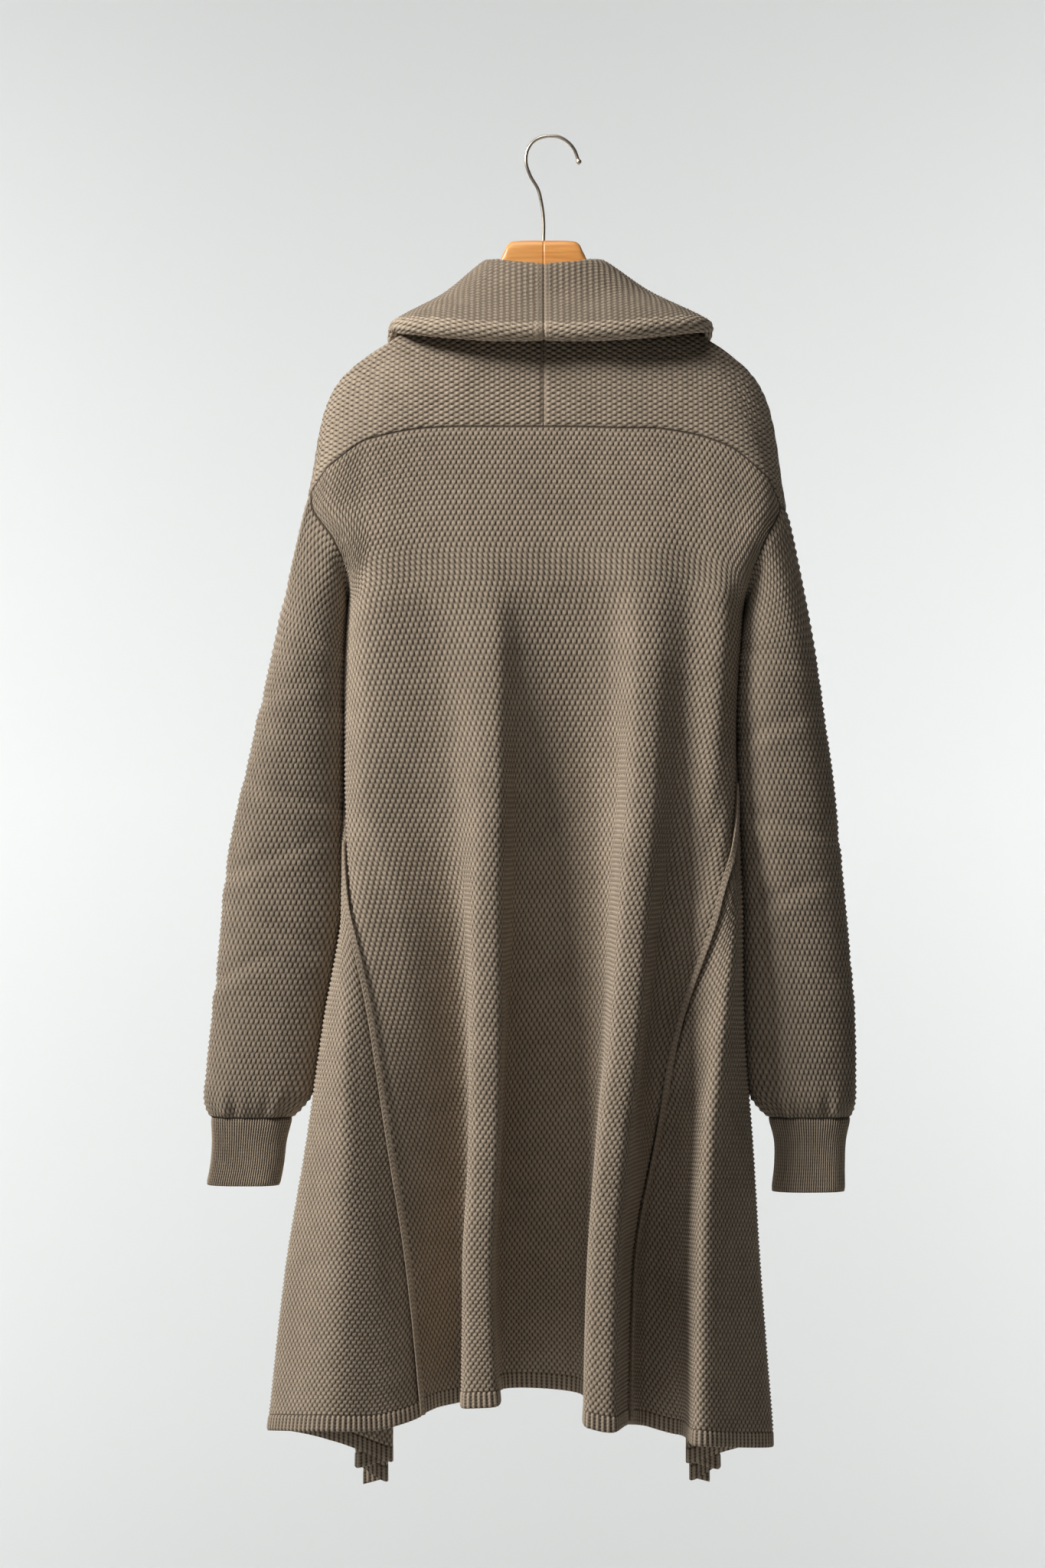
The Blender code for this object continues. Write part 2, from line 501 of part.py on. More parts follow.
def add_object(name, points, faces, look):
    """Mesh object from millimetre points, faces turned outward."""
    mesh = bpy.data.meshes.new(name)
    from_arc = (np.asarray(points) - np.array(ARC_TOP)) * MM
    mesh.from_pydata([tuple(p) for p in from_arc], [], faces)
    mesh.materials.append(look)
    shell = bmesh.new()
    shell.from_mesh(mesh)
    bmesh.ops.recalc_face_normals(shell, faces=shell.faces[:])
    if shell.calc_volume(signed=True) < 0:
        bmesh.ops.reverse_faces(shell, faces=shell.faces[:])
    shell.to_mesh(mesh)
    shell.free()
    mesh.shade_smooth()
    mesh.set_sharp_from_angle(angle=math.radians(50))
    made = bpy.data.objects.new(name, mesh)
    bpy.context.scene.collection.objects.link(made)
    return made


def wall(name, grid, normal, look, thick=WALL, closed=False, proud=None, every=1):
    """Closed wall solid round a grid of mid-surface points.

    proud raises outer points; the plain inside keeps one column for each so many outside.
    """
    rows, columns = grid.shape[:2]
    outer = grid + normal * (thick / 2)
    if proud is not None:
        outer = outer + normal * proud[..., None]
    inner = (grid - normal * (thick / 2))[:, ::every]
    inner_columns = inner.shape[1]
    points = np.vstack([outer.reshape(-1, 3), inner.reshape(-1, 3)])
    offset = rows * columns
    spans = columns if closed else columns - 1
    inner_spans = inner_columns if closed else inner_columns - 1
    faces = []

    def out(row, column):
        return row * columns + column % columns

    def within(row, column):
        return offset + row * inner_columns + column % inner_columns

    for row in range(rows - 1):
        for column in range(spans):
            faces.append([out(row, column), out(row, column + 1),
                          out(row + 1, column + 1), out(row + 1, column)])
        for column in range(inner_spans):
            faces.append([within(row, column), within(row + 1, column),
                          within(row + 1, column + 1), within(row, column + 1)])
    for row, turn in ((0, 1), (rows - 1, -1)):
        for column in range(inner_spans):
            rim = [within(row, column), within(row, column + 1)]
            rim += [out(row, column * every + k) for k in range(every, -1, -1)]
            faces.append(rim[::turn])
    if not closed:
        for column, inner_column, turn in ((0, 0, -1), (columns - 1, inner_columns - 1, 1)):
            for row in range(rows - 1):
                rim = [out(row, column), within(row, inner_column),
                       within(row + 1, inner_column), out(row + 1, column)]
                faces.append(rim[::turn])
    return add_object(name, points, faces, look)


def neck_curve(side, k):
    """Neckline, continued down the front edge, at station positions k."""
    flip = SIGN[side]
    neck = [(x * flip, y, z) for x, y, z in NECK]
    edge_z = np.array(FRONT_EDGE_Z, float)
    edge = front_point(side, np.full(len(edge_z), FRONT_EDGE), edge_z)
    return one_curve(np.vstack([neck, edge]), k)


def neck_position(side, stations):
    """Neckline position met by each yoke station."""
    table = YOKES[side]
    at = np.array([[row[0]] for row in table], float)
    return monotone_rows(np.arange(len(table)), at, stations)[:, 0]


def seam_column(side, stations, back):
    """Column of the back or front panel met by each yoke station."""
    table = YOKES[side]
    rows = range(0, 6) if back else range(7, len(table))
    at = np.array([[abs(table[row][1])] for row in rows], float)
    return monotone_rows(np.array(list(rows)), at, stations)[:, 0]


def yoke_stations(side):
    """Yoke columns, set so that they meet the panels' own columns along the seam."""
    fine = np.linspace(0, 5, 2001)
    met = seam_column(side, fine, True)
    order = np.argsort(met)
    behind = [float(np.interp(u, met[order], fine[order])) for u in YOKE_BACK_COLUMNS[side]]
    fine = np.linspace(7, 11, 2001)
    met = seam_column(side, fine, False)
    before = [float(np.interp(u, met, fine)) for u in YOKE_FRONT_COLUMNS]
    return np.array([0, 0.5, 1, 1.5, 2] + behind + [5, 5.5, 6, 6.5, 7] + before + [10, 10.5, 11])


def yoke_grid(side, stations, rows):
    """Yoke half: rows from the neckline out to the seam, columns from centre back to front."""
    table = YOKES[side]
    neck = neck_curve(side, neck_position(side, stations))
    first = one_curve([row[2:5] for row in table], stations)
    second = one_curve([row[5:8] for row in table], stations)
    back_u = seam_column(side, stations, True)
    front_u = seam_column(side, stations, False)
    back_seam = back_point(back_u, column_value(BACK_TOP, back_u))
    front_seam = front_point(side, front_u, column_value(FRONTS[side][1], front_u))
    over = one_curve([back_seam[stations <= 5][-1], SHOULDER_END[side],
                      front_seam[stations >= 7][0]], np.clip(stations - 5, 0, 2))
    seam = np.where((stations <= 5)[:, None], back_seam,
                    np.where((stations >= 7)[:, None], front_seam, over))
    control = np.stack([neck, first, second, seam], axis=1)
    v = np.linspace(0, 3, rows + 1)
    return np.array([through(control, np.full(len(stations), value)) for value in v])


def collar_grid(side, k):
    """Collar half: rows from the neckline up to the fold, down the fall and round the roll."""
    values = one_curve(COLLARS[side], k)
    fold, middle, edge = values[:, 0:3], values[:, 3:6], values[:, 6:9]
    radius, curl = values[:, 9], np.radians(values[:, 10])
    length = unit(np.gradient(edge, axis=0)) * SIGN[side]
    length[0] = (-1.0, 0.0, 0.0)
    base = neck_curve(side, k)
    crown = unit(fold - (base + middle) / 2)
    across = middle - base
    across = unit(across - crown * np.sum(across * crown, axis=1)[:, None]) * FOLD_RADIUS
    up = middle - edge
    up = unit(up - length * np.sum(up * length, axis=1)[:, None])
    inward = np.cross(up, length)
    start = edge + inward * radius[:, None]
    above = start - up * radius[:, None]
    control = np.stack([base, fold - across, fold + across, middle, start], axis=1)
    rows = [through(control, np.full(len(k), value), after=above) for value in COLLAR_ROWS]
    for step in range(1, CURL_ROWS + 1):
        angle = curl * step / CURL_ROWS
        rows.append(edge + radius[:, None] * (np.cos(angle)[:, None] * inward
                                              - np.sin(angle)[:, None] * up))
    return np.array(rows)


def ring(section, count):
    """Flattened oval at one height: starts at the outer edge, goes by the back."""
    z, outer, inner, back, front = section
    angle = np.linspace(0, 2 * math.pi, count, endpoint=False)
    power = 2 / SLEEVE_SQUARENESS
    c, s = np.cos(angle), np.sin(angle)
    x = (outer + inner) / 2 + (outer - inner) / 2 * np.sign(c) * np.abs(c) ** power
    depth = np.sign(s) * np.abs(s) ** power
    y = (back + front) / 2 - (front - back) / 2 * depth
    return np.column_stack([x, y, np.full(count, z)])


def armhole(side):
    """Armhole ring: shoulder end, down the back, underarm, up the front."""
    back_column = 0 if side == "left" else len(BACK_COLUMNS) - 1
    down = np.linspace(0, 1, ARM_ROWS + 1)
    back_top, front_top = BACK_TOP[back_column], FRONTS[side][1][0]
    back_z = back_top + (UNDERARM_Z - back_top) * down
    front_z = (front_top + (UNDERARM_Z - front_top) * down)[::-1][1:]
    back = back_point(np.full(len(back_z), float(back_column)), back_z)
    front = front_point(side, np.zeros(len(front_z)), front_z)
    over = one_curve([back[0], SHOULDER_END[side], front[-1]], [0.5, 1.0, 1.5])
    return np.vstack([over[1:2], over[0:1], back, front, over[2:3]])


def sleeve_grid(side):
    """Sleeve: armhole ring led outward, then blended into oval sections down to the cuff."""
    hole = armhole(side)
    count = len(hole)
    inner = (1 - np.cos(np.arange(count) * 2 * math.pi / count)) / 2
    lead = np.column_stack([-SIGN[side] * (LEAD_OUT[0] + LEAD_OUT[1] * inner), 0 * inner,
                            LEAD_DOWN[0] + LEAD_DOWN[1] * inner])
    step = np.linalg.norm(np.diff(np.vstack([hole, hole[:1]]), axis=0), axis=1)
    run = np.concatenate([[0], np.cumsum(step)[:-1]]) / step.sum()
    rings = [hole, hole + lead]
    for section in SLEEVES[side]:
        fine = ring(section, 720)
        loop = np.vstack([fine, fine[:1]])
        length = np.concatenate([[0], np.cumsum(np.linalg.norm(np.diff(loop, axis=0), axis=1))])
        at = run * length[-1]
        rings.append(np.column_stack([np.interp(at, length, loop[:, a]) for a in range(3)]))
    control = np.stack(rings, axis=1)
    return np.array([through(control, np.full(count, value)) for value in SLEEVE_ROWS])


def swept(name, path, radii, count, look, side_axis):
    """Round solid swept along a path, closed by its end rings."""
    path = np.asarray(path, float)
    tangent = unit(np.gradient(path, axis=0))
    across = unit(np.cross(tangent, side_axis))
    lift = np.cross(across, tangent)
    angle = np.linspace(0, 2 * math.pi, count, endpoint=False)
    circle = across[:, None] * np.cos(angle)[None, :, None]
    circle = circle + lift[:, None] * np.sin(angle)[None, :, None]
    grid = path[:, None] + circle * np.asarray(radii)[:, None, None]
    return lofted(name, grid, look)


def lofted(name, grid, look):
    """Solid through closed rings, capped at both ends."""
    rows, count = grid.shape[:2]
    faces = []
    for row in range(rows - 1):
        for column in range(count):
            following = (column + 1) % count
            faces.append([row * count + column, row * count + following,
                          (row + 1) * count + following, (row + 1) * count + column])
    faces.append(list(range(count)))
    faces.append([(rows - 1) * count + column for column in reversed(range(count))])
    return add_object(name, grid.reshape(-1, 3), faces, look)


def build_hanger(wood_look, steel_look):
    """Wooden board lofted across its width, with a socket for the hook's shaft."""
    half = np.array(WOOD, float)
    mirrored = half[::-1].copy()
    mirrored[:, 0] *= -1
    board = np.vstack([mirrored, half])
    angle = np.linspace(0, 2 * math.pi, WOOD_RING, endpoint=False)
    c, s = np.cos(angle), np.sin(angle)
    y = np.sign(c) * np.abs(c) ** WOOD_ROUNDING
    z = np.sign(s) * np.abs(s) ** WOOD_ROUNDING
    rings = []
    for x, top, bottom in board:
        cut = JOINT_GROOVE if abs(x) <= WOOD[0][0] else 0.0
        thick = ARM_HALF_THICK - cut - (TIP_THINNING if abs(x) > WOOD_TIP_FROM else 0.0)
        reach = (top - bottom) / 2 - cut
        rings.append(np.column_stack([np.full(WOOD_RING, x), y * thick,
                                      (top + bottom) / 2 + z * reach]))
    wood = lofted("hanger_wood", np.array(rings), wood_look)
    bpy.ops.mesh.primitive_cylinder_add(
        vertices=12, radius=HOOK_SOCKET_RADIUS * MM, depth=2 * HOOK_SOCKET_DEPTH * MM,
        location=(-ARC_TOP[0] * MM, 0, WOOD_TOP_Z * MM))
    cutter = bpy.context.active_object
    cutter.name = "hook_socket_cutter"
    cutter.hide_render = True
    cutter.display_type = "WIRE"
    cut = wood.modifiers.new("socket", "BOOLEAN")
    cut.operation = "DIFFERENCE"
    cut.solver = "EXACT"
    cut.object = cutter
    u = np.linspace(0, len(HOOK) - 1, HOOK_STEPS)
    line = one_curve([(x, 0.0, z) for x, z in HOOK], u)
    heading = unit(line[-1] - line[-2])
    ball_angle = np.radians(HOOK_BALL_STEPS)
    ball = line[-1] + heading * HOOK_BALL_RADIUS * (1 + np.sin(ball_angle))[:, None]
    radii = np.concatenate([np.full(len(line), WIRE_RADIUS),
                            HOOK_BALL_RADIUS * np.cos(ball_angle)])
    swept("hanger_hook", np.vstack([line, ball]), radii, HOOK_RING, steel_look, (0, 1, 0))


def body_grids():
    """Mid-surfaces and normals of the back and the fronts, equal along the side seams."""
    back = panel_grid(back_point, subdivided(BACK_SPANS), BACK_TOP, BACK_HEM)
    back_normal = facing(normals(back), 10, 20, (0, -1, 0))
    fronts = {}
    for side, column in (("left", 0), ("right", -1)):
        _, top, hem = FRONTS[side]
        grid = panel_grid(lambda u, z, side=side: front_point(side, u, z),
                          subdivided(FRONT_SPANS), top, hem)
        normal = facing(normals(grid), 10, 9, (0, 1, 0))
        shared = unit(normal[ARM_ROWS:, 0] + back_normal[ARM_ROWS:, column])
        normal[ARM_ROWS:, 0] = shared
        back_normal[ARM_ROWS:, column] = shared
        fronts[side] = (grid, normal)
    return (back, back_normal), fronts


def share_yoke_seam(side, stations, yoke_normal, back_normal, front_normal):
    """Gives the yoke and the panels below it equal normals where their columns meet."""
    back_u, front_u = subdivided(BACK_SPANS), subdivided(FRONT_SPANS)
    for number, station in enumerate(stations):
        for normal, all_u, met in (
                (back_normal, back_u, seam_column(side, np.array([station]), True)[0]),
                (front_normal, front_u, seam_column(side, np.array([station]), False)[0])):
            behind = normal is back_normal
            if (behind and station > 5) or (not behind and station < 7):
                continue
            column = int(np.argmin(np.abs(all_u - met)))
            if abs(all_u[column] - met) < MATCHED:
                shared = unit(yoke_normal[-1, number] + normal[0, column])
                yoke_normal[-1, number] = shared
                normal[0, column] = shared


def build_sleeve(side, back_normal, front_normal, yoke_normal, stations, knit, rib):
    """Sleeve from its armhole ring, whose normals it shares with its neighbours, and cuff."""
    grid = sleeve_grid(side)
    outside = (-SIGN[side], 0, 0)
    normal = facing(normals(grid, closed=True), 6, 0, outside)
    column = 0 if side == "left" else -1
    tip, behind, before = [int(np.argmin(np.abs(stations - s))) for s in (6.0, 5.5, 6.5)]
    body = np.vstack([yoke_normal[-1, [tip, behind]], back_normal[:ARM_ROWS + 1, column],
                      front_normal[:ARM_ROWS, 0][::-1], yoke_normal[-1, [before]]])
    shared = unit(normal[0] + body)
    normal[0] = shared
    yoke_normal[-1, [tip, behind, before]] = shared[[0, 1, -1]]
    back_normal[:ARM_ROWS + 1, column] = shared[2:3 + ARM_ROWS]
    front_normal[:ARM_ROWS, 0] = shared[3 + ARM_ROWS:3 + 2 * ARM_ROWS][::-1]
    front_normal[ARM_ROWS, 0] = shared[2 + ARM_ROWS]
    corners = [int(np.argmin(np.abs(stations - s))) for s in (5.0, 7.0)]
    yoke_normal[-1, corners] = shared[[2, 2 + 2 * ARM_ROWS]]
    grid = pull(pull(grid, "top", MITRE_GAP), "bottom", GAP)
    wall("sleeve_" + side, grid, normal, knit, closed=True)
    sections = np.array([ring(section, CUFF_COLUMNS) for section in CUFFS[side]])
    cuff_normal = facing(normals(sections, closed=True), 1, 0, outside)
    proud = np.where(np.arange(CUFF_COLUMNS) % 2 == 0, 0.0, CUFF_RIB_RISE)
    wall("cuff_" + side, pull(sections, "top", GAP), cuff_normal, rib, thick=CUFF_WALL,
         closed=True, proud=np.tile(proud, (len(sections), 1)), every=INNER_EVERY)


def build_bands(rib):
    """Ribbed bands along the back's and the fronts' lower edges."""
    bands = [("back_hem", back_point, BACK_HEM, 6.5, (0, -1, 0))]
    for side in ("left", "right"):
        bands.append(("front_hem_" + side, lambda u, z, side=side: front_point(side, u, z),
                      FRONTS[side][2], 7.0, (0, 1, 0)))
    for name, point, hem, plain_at, toward in bands:
        u = even_columns(point, hem, len(hem), HEM_RIB_PITCH)
        grid = band_grid(point, u, hem)
        middle = int(np.argmin(np.abs(u - plain_at)))
        normal = facing(normals(grid), 0, middle, toward)
        proud = np.tile(np.where(np.arange(len(u)) % 2 == 0, 0.0, HEM_RIB_RISE), (2, 1))
        grid = pull(pull(pull(grid, "first", GAP), "last", GAP), "top", BAND_GAP)
        wall(name, grid, normal, rib, proud=proud, every=INNER_EVERY)


def beside(line, normal, distance):
    """Point and normal at a distance along each row of a panel from its first column."""
    step = np.linalg.norm(np.diff(line, axis=1), axis=2)
    run = np.concatenate([np.zeros((len(step), 1)), np.cumsum(step, axis=1)], axis=1)
    point = [[np.interp(distance, run[r], line[r, :, a]) for a in range(3)]
             for r in range(len(line))]
    facing_out = [[np.interp(distance, run[r], normal[r, :, a]) for a in range(3)]
                  for r in range(len(line))]
    return np.array(point), unit(np.array(facing_out))


def build_seam_strip(side, back, back_normal, front, front_normal, plain):
    """Raised selvedge over a side seam, made from the points of both panels."""
    if side == "right":
        back, back_normal = back[:, ::-1], back_normal[:, ::-1]
    rows = np.where(back[:, 0, 2] < SEAM_TOP[side])[0]
    here, outward = back[rows], back_normal[rows]
    there, toward = front[rows], front_normal[rows]
    half = SEAM_WIDTH / 2
    one, one_out = beside(here[:, :6], outward[:, :6], half)
    two, two_out = beside(there[:, :6], toward[:, :6], half)
    strip = np.stack([one, here[:, 0], two], axis=1)
    out = np.stack([one_out, outward[:, 0], two_out], axis=1)
    strip = strip + out * (WALL / 2 + SEAM_LIFT + SEAM_THICK / 2)
    wall("seam_" + side, strip, out, plain, thick=SEAM_THICK)


def main():
    for old in list(bpy.data.objects):
        bpy.data.objects.remove(old, do_unlink=True)
    knit = material("taupe_knit", (0.21, 0.165, 0.115), 0.9)
    rib = material("taupe_rib", (0.19, 0.15, 0.105), 0.9)
    plain = material("taupe_selvedge", (0.2, 0.155, 0.11), 0.9)
    wood_look = material("varnished_wood", (0.75, 0.38, 0.12), 0.35)
    steel_look = material("steel_wire", (0.7, 0.68, 0.62), 0.3, 1.0)
    build_hanger(wood_look, steel_look)
    (back, back_normal), fronts = body_grids()
    for side in ("left", "right"):
        stations = yoke_stations(side)
        front, front_normal = fronts[side]
        yoke = yoke_grid(side, stations, YOKE_ROWS)
        yoke_normal = facing(normals(yoke), 3, 0, (0, -1, 0))
        share_yoke_seam(side, stations, yoke_normal, back_normal, front_normal)
        build_sleeve(side, back_normal, front_normal, yoke_normal, stations, knit, rib)
        yoke_normal[:, 0] = flat_end(yoke_normal[:, 0])
        yoke = pull(pull(pull(yoke, "top", MITRE_GAP), "bottom", YOKE_GAP), "first", GAP / 2)
        wall("yoke_" + side, yoke, yoke_normal, knit)
        k = np.concatenate([neck_position(side, stations), COLLAR_LOWER])
        collar = collar_grid(side, k)
        collar_normal = facing(normals(collar), 6, 0, (0, -1, 0))
        collar_normal[:, 0] = flat_end(collar_normal[:, 0])
        collar = pull(pull(collar, "top", COLLAR_GAP), "first", GAP / 2)
        wall("collar_" + side, collar, collar_normal, knit)
        trimmed = pull(pull(front, "first", SIDE_GAP / 2), "last", EDGE_GAP)
        trimmed = pull(pull(trimmed, "top", GAP), "bottom", GAP)
        wall("front_" + side, trimmed, front_normal, knit)
        build_seam_strip(side, back, back_normal, front, front_normal, plain)
    trimmed = pull(pull(back, "first", SIDE_GAP / 2), "last", SIDE_GAP / 2)
    wall("back", pull(pull(trimmed, "top", GAP), "bottom", GAP), back_normal, knit)
    build_bands(rib)


main()
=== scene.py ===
"""Looks of an open-front cardigan hanging on a wooden hanger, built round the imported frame.

Lengths in the tables are in millimetres, measured from the stem of the hanger's hook.
"""
import math

import bpy
import numpy as np
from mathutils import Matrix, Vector


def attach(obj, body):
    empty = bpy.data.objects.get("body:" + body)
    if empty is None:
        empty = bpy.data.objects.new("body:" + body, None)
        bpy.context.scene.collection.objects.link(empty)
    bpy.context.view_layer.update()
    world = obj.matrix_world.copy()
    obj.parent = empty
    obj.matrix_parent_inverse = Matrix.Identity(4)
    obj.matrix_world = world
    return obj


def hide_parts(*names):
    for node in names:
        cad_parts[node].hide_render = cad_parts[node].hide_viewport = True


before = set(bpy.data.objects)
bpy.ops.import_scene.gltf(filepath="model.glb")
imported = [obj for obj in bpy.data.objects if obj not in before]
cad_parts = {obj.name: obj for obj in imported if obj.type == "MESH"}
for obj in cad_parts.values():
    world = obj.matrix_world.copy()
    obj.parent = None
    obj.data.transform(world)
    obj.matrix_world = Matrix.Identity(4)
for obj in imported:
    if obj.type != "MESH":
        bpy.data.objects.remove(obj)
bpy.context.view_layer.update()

MM = 0.001
FULL_TURN = 2 * math.pi
ARC_TOP = (6.2, 0.0, 0.0)  # underside of the hook's arc, the frame's origin, from the hook's stem
UNDERARM_Z = -380.0        # height of both underarm points
HEM_BAND = 12.5            # height of the ribbed hem band
SEAM_WIDTH = 5.0           # selvedge strip over a side seam
TURN_RADIUS = ((-1024, 4.6), (-898, 4.0), (-801, 3.2), (-705, 2.0), (-609, 0.8), (-512, 0.3))
TURN_SPREAD = 1.5          # half width of a turn where it is still flat
WIRE_RADIUS = 1.4          # hanger hook wire
HOOK_BALL_RADIUS = 2.3     # ball on the hook's tip
WOOD_TOP_Z = -82.0         # top of the hanger's neck block
ARM_HALF_THICK = 6.0       # half thickness of the wooden arms
JOINT_GROOVE = 0.5         # depth of the groove between the hanger's halves

# Back panel in plan: one row per height, then an (x, y) pair for each of its fold lines: side,
# edge and flank left, valley, pipe A left and right, recess left and right, pipe B left and
# right, valley, flank, edge and side right.
BACK = (
    (-236, -184, -22, -169, -30, -139, -35, -90, -37, -62, -37, -47, -37, -23, -37,
     18, -37, 66, -37, 81, -37, 114, -36, 147, -34, 172, -30, 187, -22),
    (-293, -183, -26, -172, -33, -142, -37, -90, -38, -62, -38, -47, -38, -23, -38,
     18, -38, 71, -40, 84, -40, 114, -38, 150, -36, 177, -31, 187, -22),
    (-323, -165, -33, -155, -37, -137, -39, -90, -39, -62, -39, -47, -39, -23, -38,
     18, -38, 72, -42, 84, -42, 114, -39, 144, -38, 165, -36, 174, -32),
    (-354, -154, -20, -150, -32, -140, -39, -90, -39, -62, -40, -47, -40, -22, -37,
     40, -37, 74, -43, 86, -43, 114, -38, 144, -39, 157, -34, 162, -22),
    (-380, -152, 2, -154, -16, -145, -36, -80, -38, -50, -41, -38, -41, -21, -35,
     52, -35, 73, -44, 86, -44, 113, -37, 144, -38, 156, -18, 156, 2),
    (-440, -154, 2, -157, -14, -147, -33, -74, -37, -48, -44, -36, -44, -20, -31,
     54, -30, 72, -48, 85, -48, 111, -35, 140, -37, 152, -18, 151, -2),
    (-512, -157, -3, -156, -18, -147, -34, -70, -36, -48, -48, -36, -48, -21, -25,
     57, -24, 71, -54, 84, -54, 107, -33, 136, -38, 148, -30, 151, -19),
    (-561, -156, -18, -152, -28, -134, -35, -67, -34, -50, -51, -37, -51, -22, -22,
     53, -21, 67, -57, 81, -57, 103, -30, 128, -35, 141, -36, 148, -31),
    (-609, -153, -32, -145, -36, -119, -35, -64, -27, -52, -54, -38, -54, -23, -19,
     50, -17, 63, -61, 77, -61, 98, -26, 117, -31, 129, -38, 138, -40),
    (-705, -136, -38, -125, -36, -106, -30, -62, -14, -52, -59, -37, -59, -28, -12,
     44, -10, 56, -67, 71, -67, 82, -26, 92, -18, 100, -19, 109, -27),
    (-801, -122, -34, -114, -31, -97, -22, -62, -4, -54, -63, -39, -63, -32, -6,
     37, -4, 45, -73, 60, -73, 70, -48, 76, -32, 82, -21, 87, -14),
    (-898, -108, -29, -101, -25, -90, -15, -66, 2, -59, -67, -44, -67, -34, -3,
     30, 0, 38, -78, 54, -78, 60, -58, 64, -46, 67, -36, 69, -28),
    (-1024, -97, -26, -93, -19, -84, -7, -66, 5, -59, -72, -39, -72, -29, -2,
     26, 2, 35, -84, 53, -84, 58, -72, 61, -62, 63, -52, 65, -42),
)
BACK_TOP = (-285, -266, -244, -235, -234, -234, -234, -234, -235, -235, -239, -250, -273, -296)
BACK_HEM = (-1014, -1012, -1010, -1008, -999, -998, -996, -1000, -1012, -1015, -1015, -1015,
            -1016, -1017)

# Front panels in plan, from the side seam round the side to the free front edge: height, then
# an (x, y) pair for the seam, the column beside it, before, on and after the ridge, the side
# edge, behind it, the plane, the three turns of the hanging edge and the free edge.
FRONT_LEFT = (
    (-236, -184, 20, -176, 23, -168, 25, -158, 26, -148, 27, -138, 28, -125, 28, -110, 28,
     -99, 28, -91, 28, -83, 28, -74, 27),
    (-293, -183, 25, -176, 28, -168, 29, -158, 29, -148, 29, -138, 29, -125, 29, -110, 29,
     -99, 29, -91, 29, -83, 29, -75, 28),
    (-323, -165, 32, -161, 32, -156, 32, -150, 32, -143, 31, -135, 31, -123, 30, -110, 30,
     -99, 30, -91, 30, -84, 30, -76, 29),
    (-354, -154, 20, -153, 25, -150, 28, -146, 30, -141, 31, -134, 31, -123, 31, -110, 31,
     -100, 31, -92, 31, -85, 30, -77, 29),
    (-380, -152, 2, -153, 8, -152, 14, -150, 20, -146, 25, -138, 29, -124, 31, -110, 32,
     -101, 32, -92, 32, -86, 31, -78, 30),
    (-440, -154, 2, -155, 7, -154, 12, -153, 17, -149, 22, -141, 27, -127, 31, -112, 33,
     -102, 34, -94, 34, -87, 33, -80, 31),
    (-512, -157, -3, -158, 1, -158, 5, -157, 9, -156, 13, -153, 17, -143, 25, -124, 31,
     -107, 36, -102, 37, -93, 38, -83, 35),
    (-561, -156, -18, -158, -14, -159, -10, -159, -5, -159, 1, -157, 7, -149, 20,
     -129, 30, -110, 36, -103, 38, -93, 40, -85, 39),
    (-609, -153, -32, -155, -30, -157, -26, -159, -20, -159, -13, -159, -5, -152, 14,
     -132, 28, -113, 36, -104, 40, -94, 43, -86, 42),
    (-705, -136, -38, -142, -41, -148, -43, -155, -44, -166, -33, -174, -12, -164, 15,
     -138, 30, -112, 37, -111, 45, -99, 48, -97, 55),
    (-801, -122, -34, -130, -38, -142, -44, -155, -48, -175, -34, -188, -10, -176, 16,
     -150, 30, -116, 40, -125, 49, -110, 55, -113, 63),
    (-898, -108, -29, -119, -36, -137, -46, -158, -51, -186, -34, -204, -9, -190, 17,
     -160, 31, -119, 42, -138, 51, -118, 59, -129, 67),
    (-1024, -97, -26, -113, -38, -133, -46, -166, -54, -199, -37, -218, -9, -204, 19,
     -172, 32, -123, 44, -151, 54, -128, 63, -147, 72),
)
FRONT_LEFT_TOP = (-285, -272, -262, -254, -249, -245, -240, -237, -235, -234, -233, -233)
FRONT_LEFT_HEM = (-1014, -1018, -1021, -1020, -1023, -1028, -1034, -1044, -1063, -1070,
                  -1083, -1088)
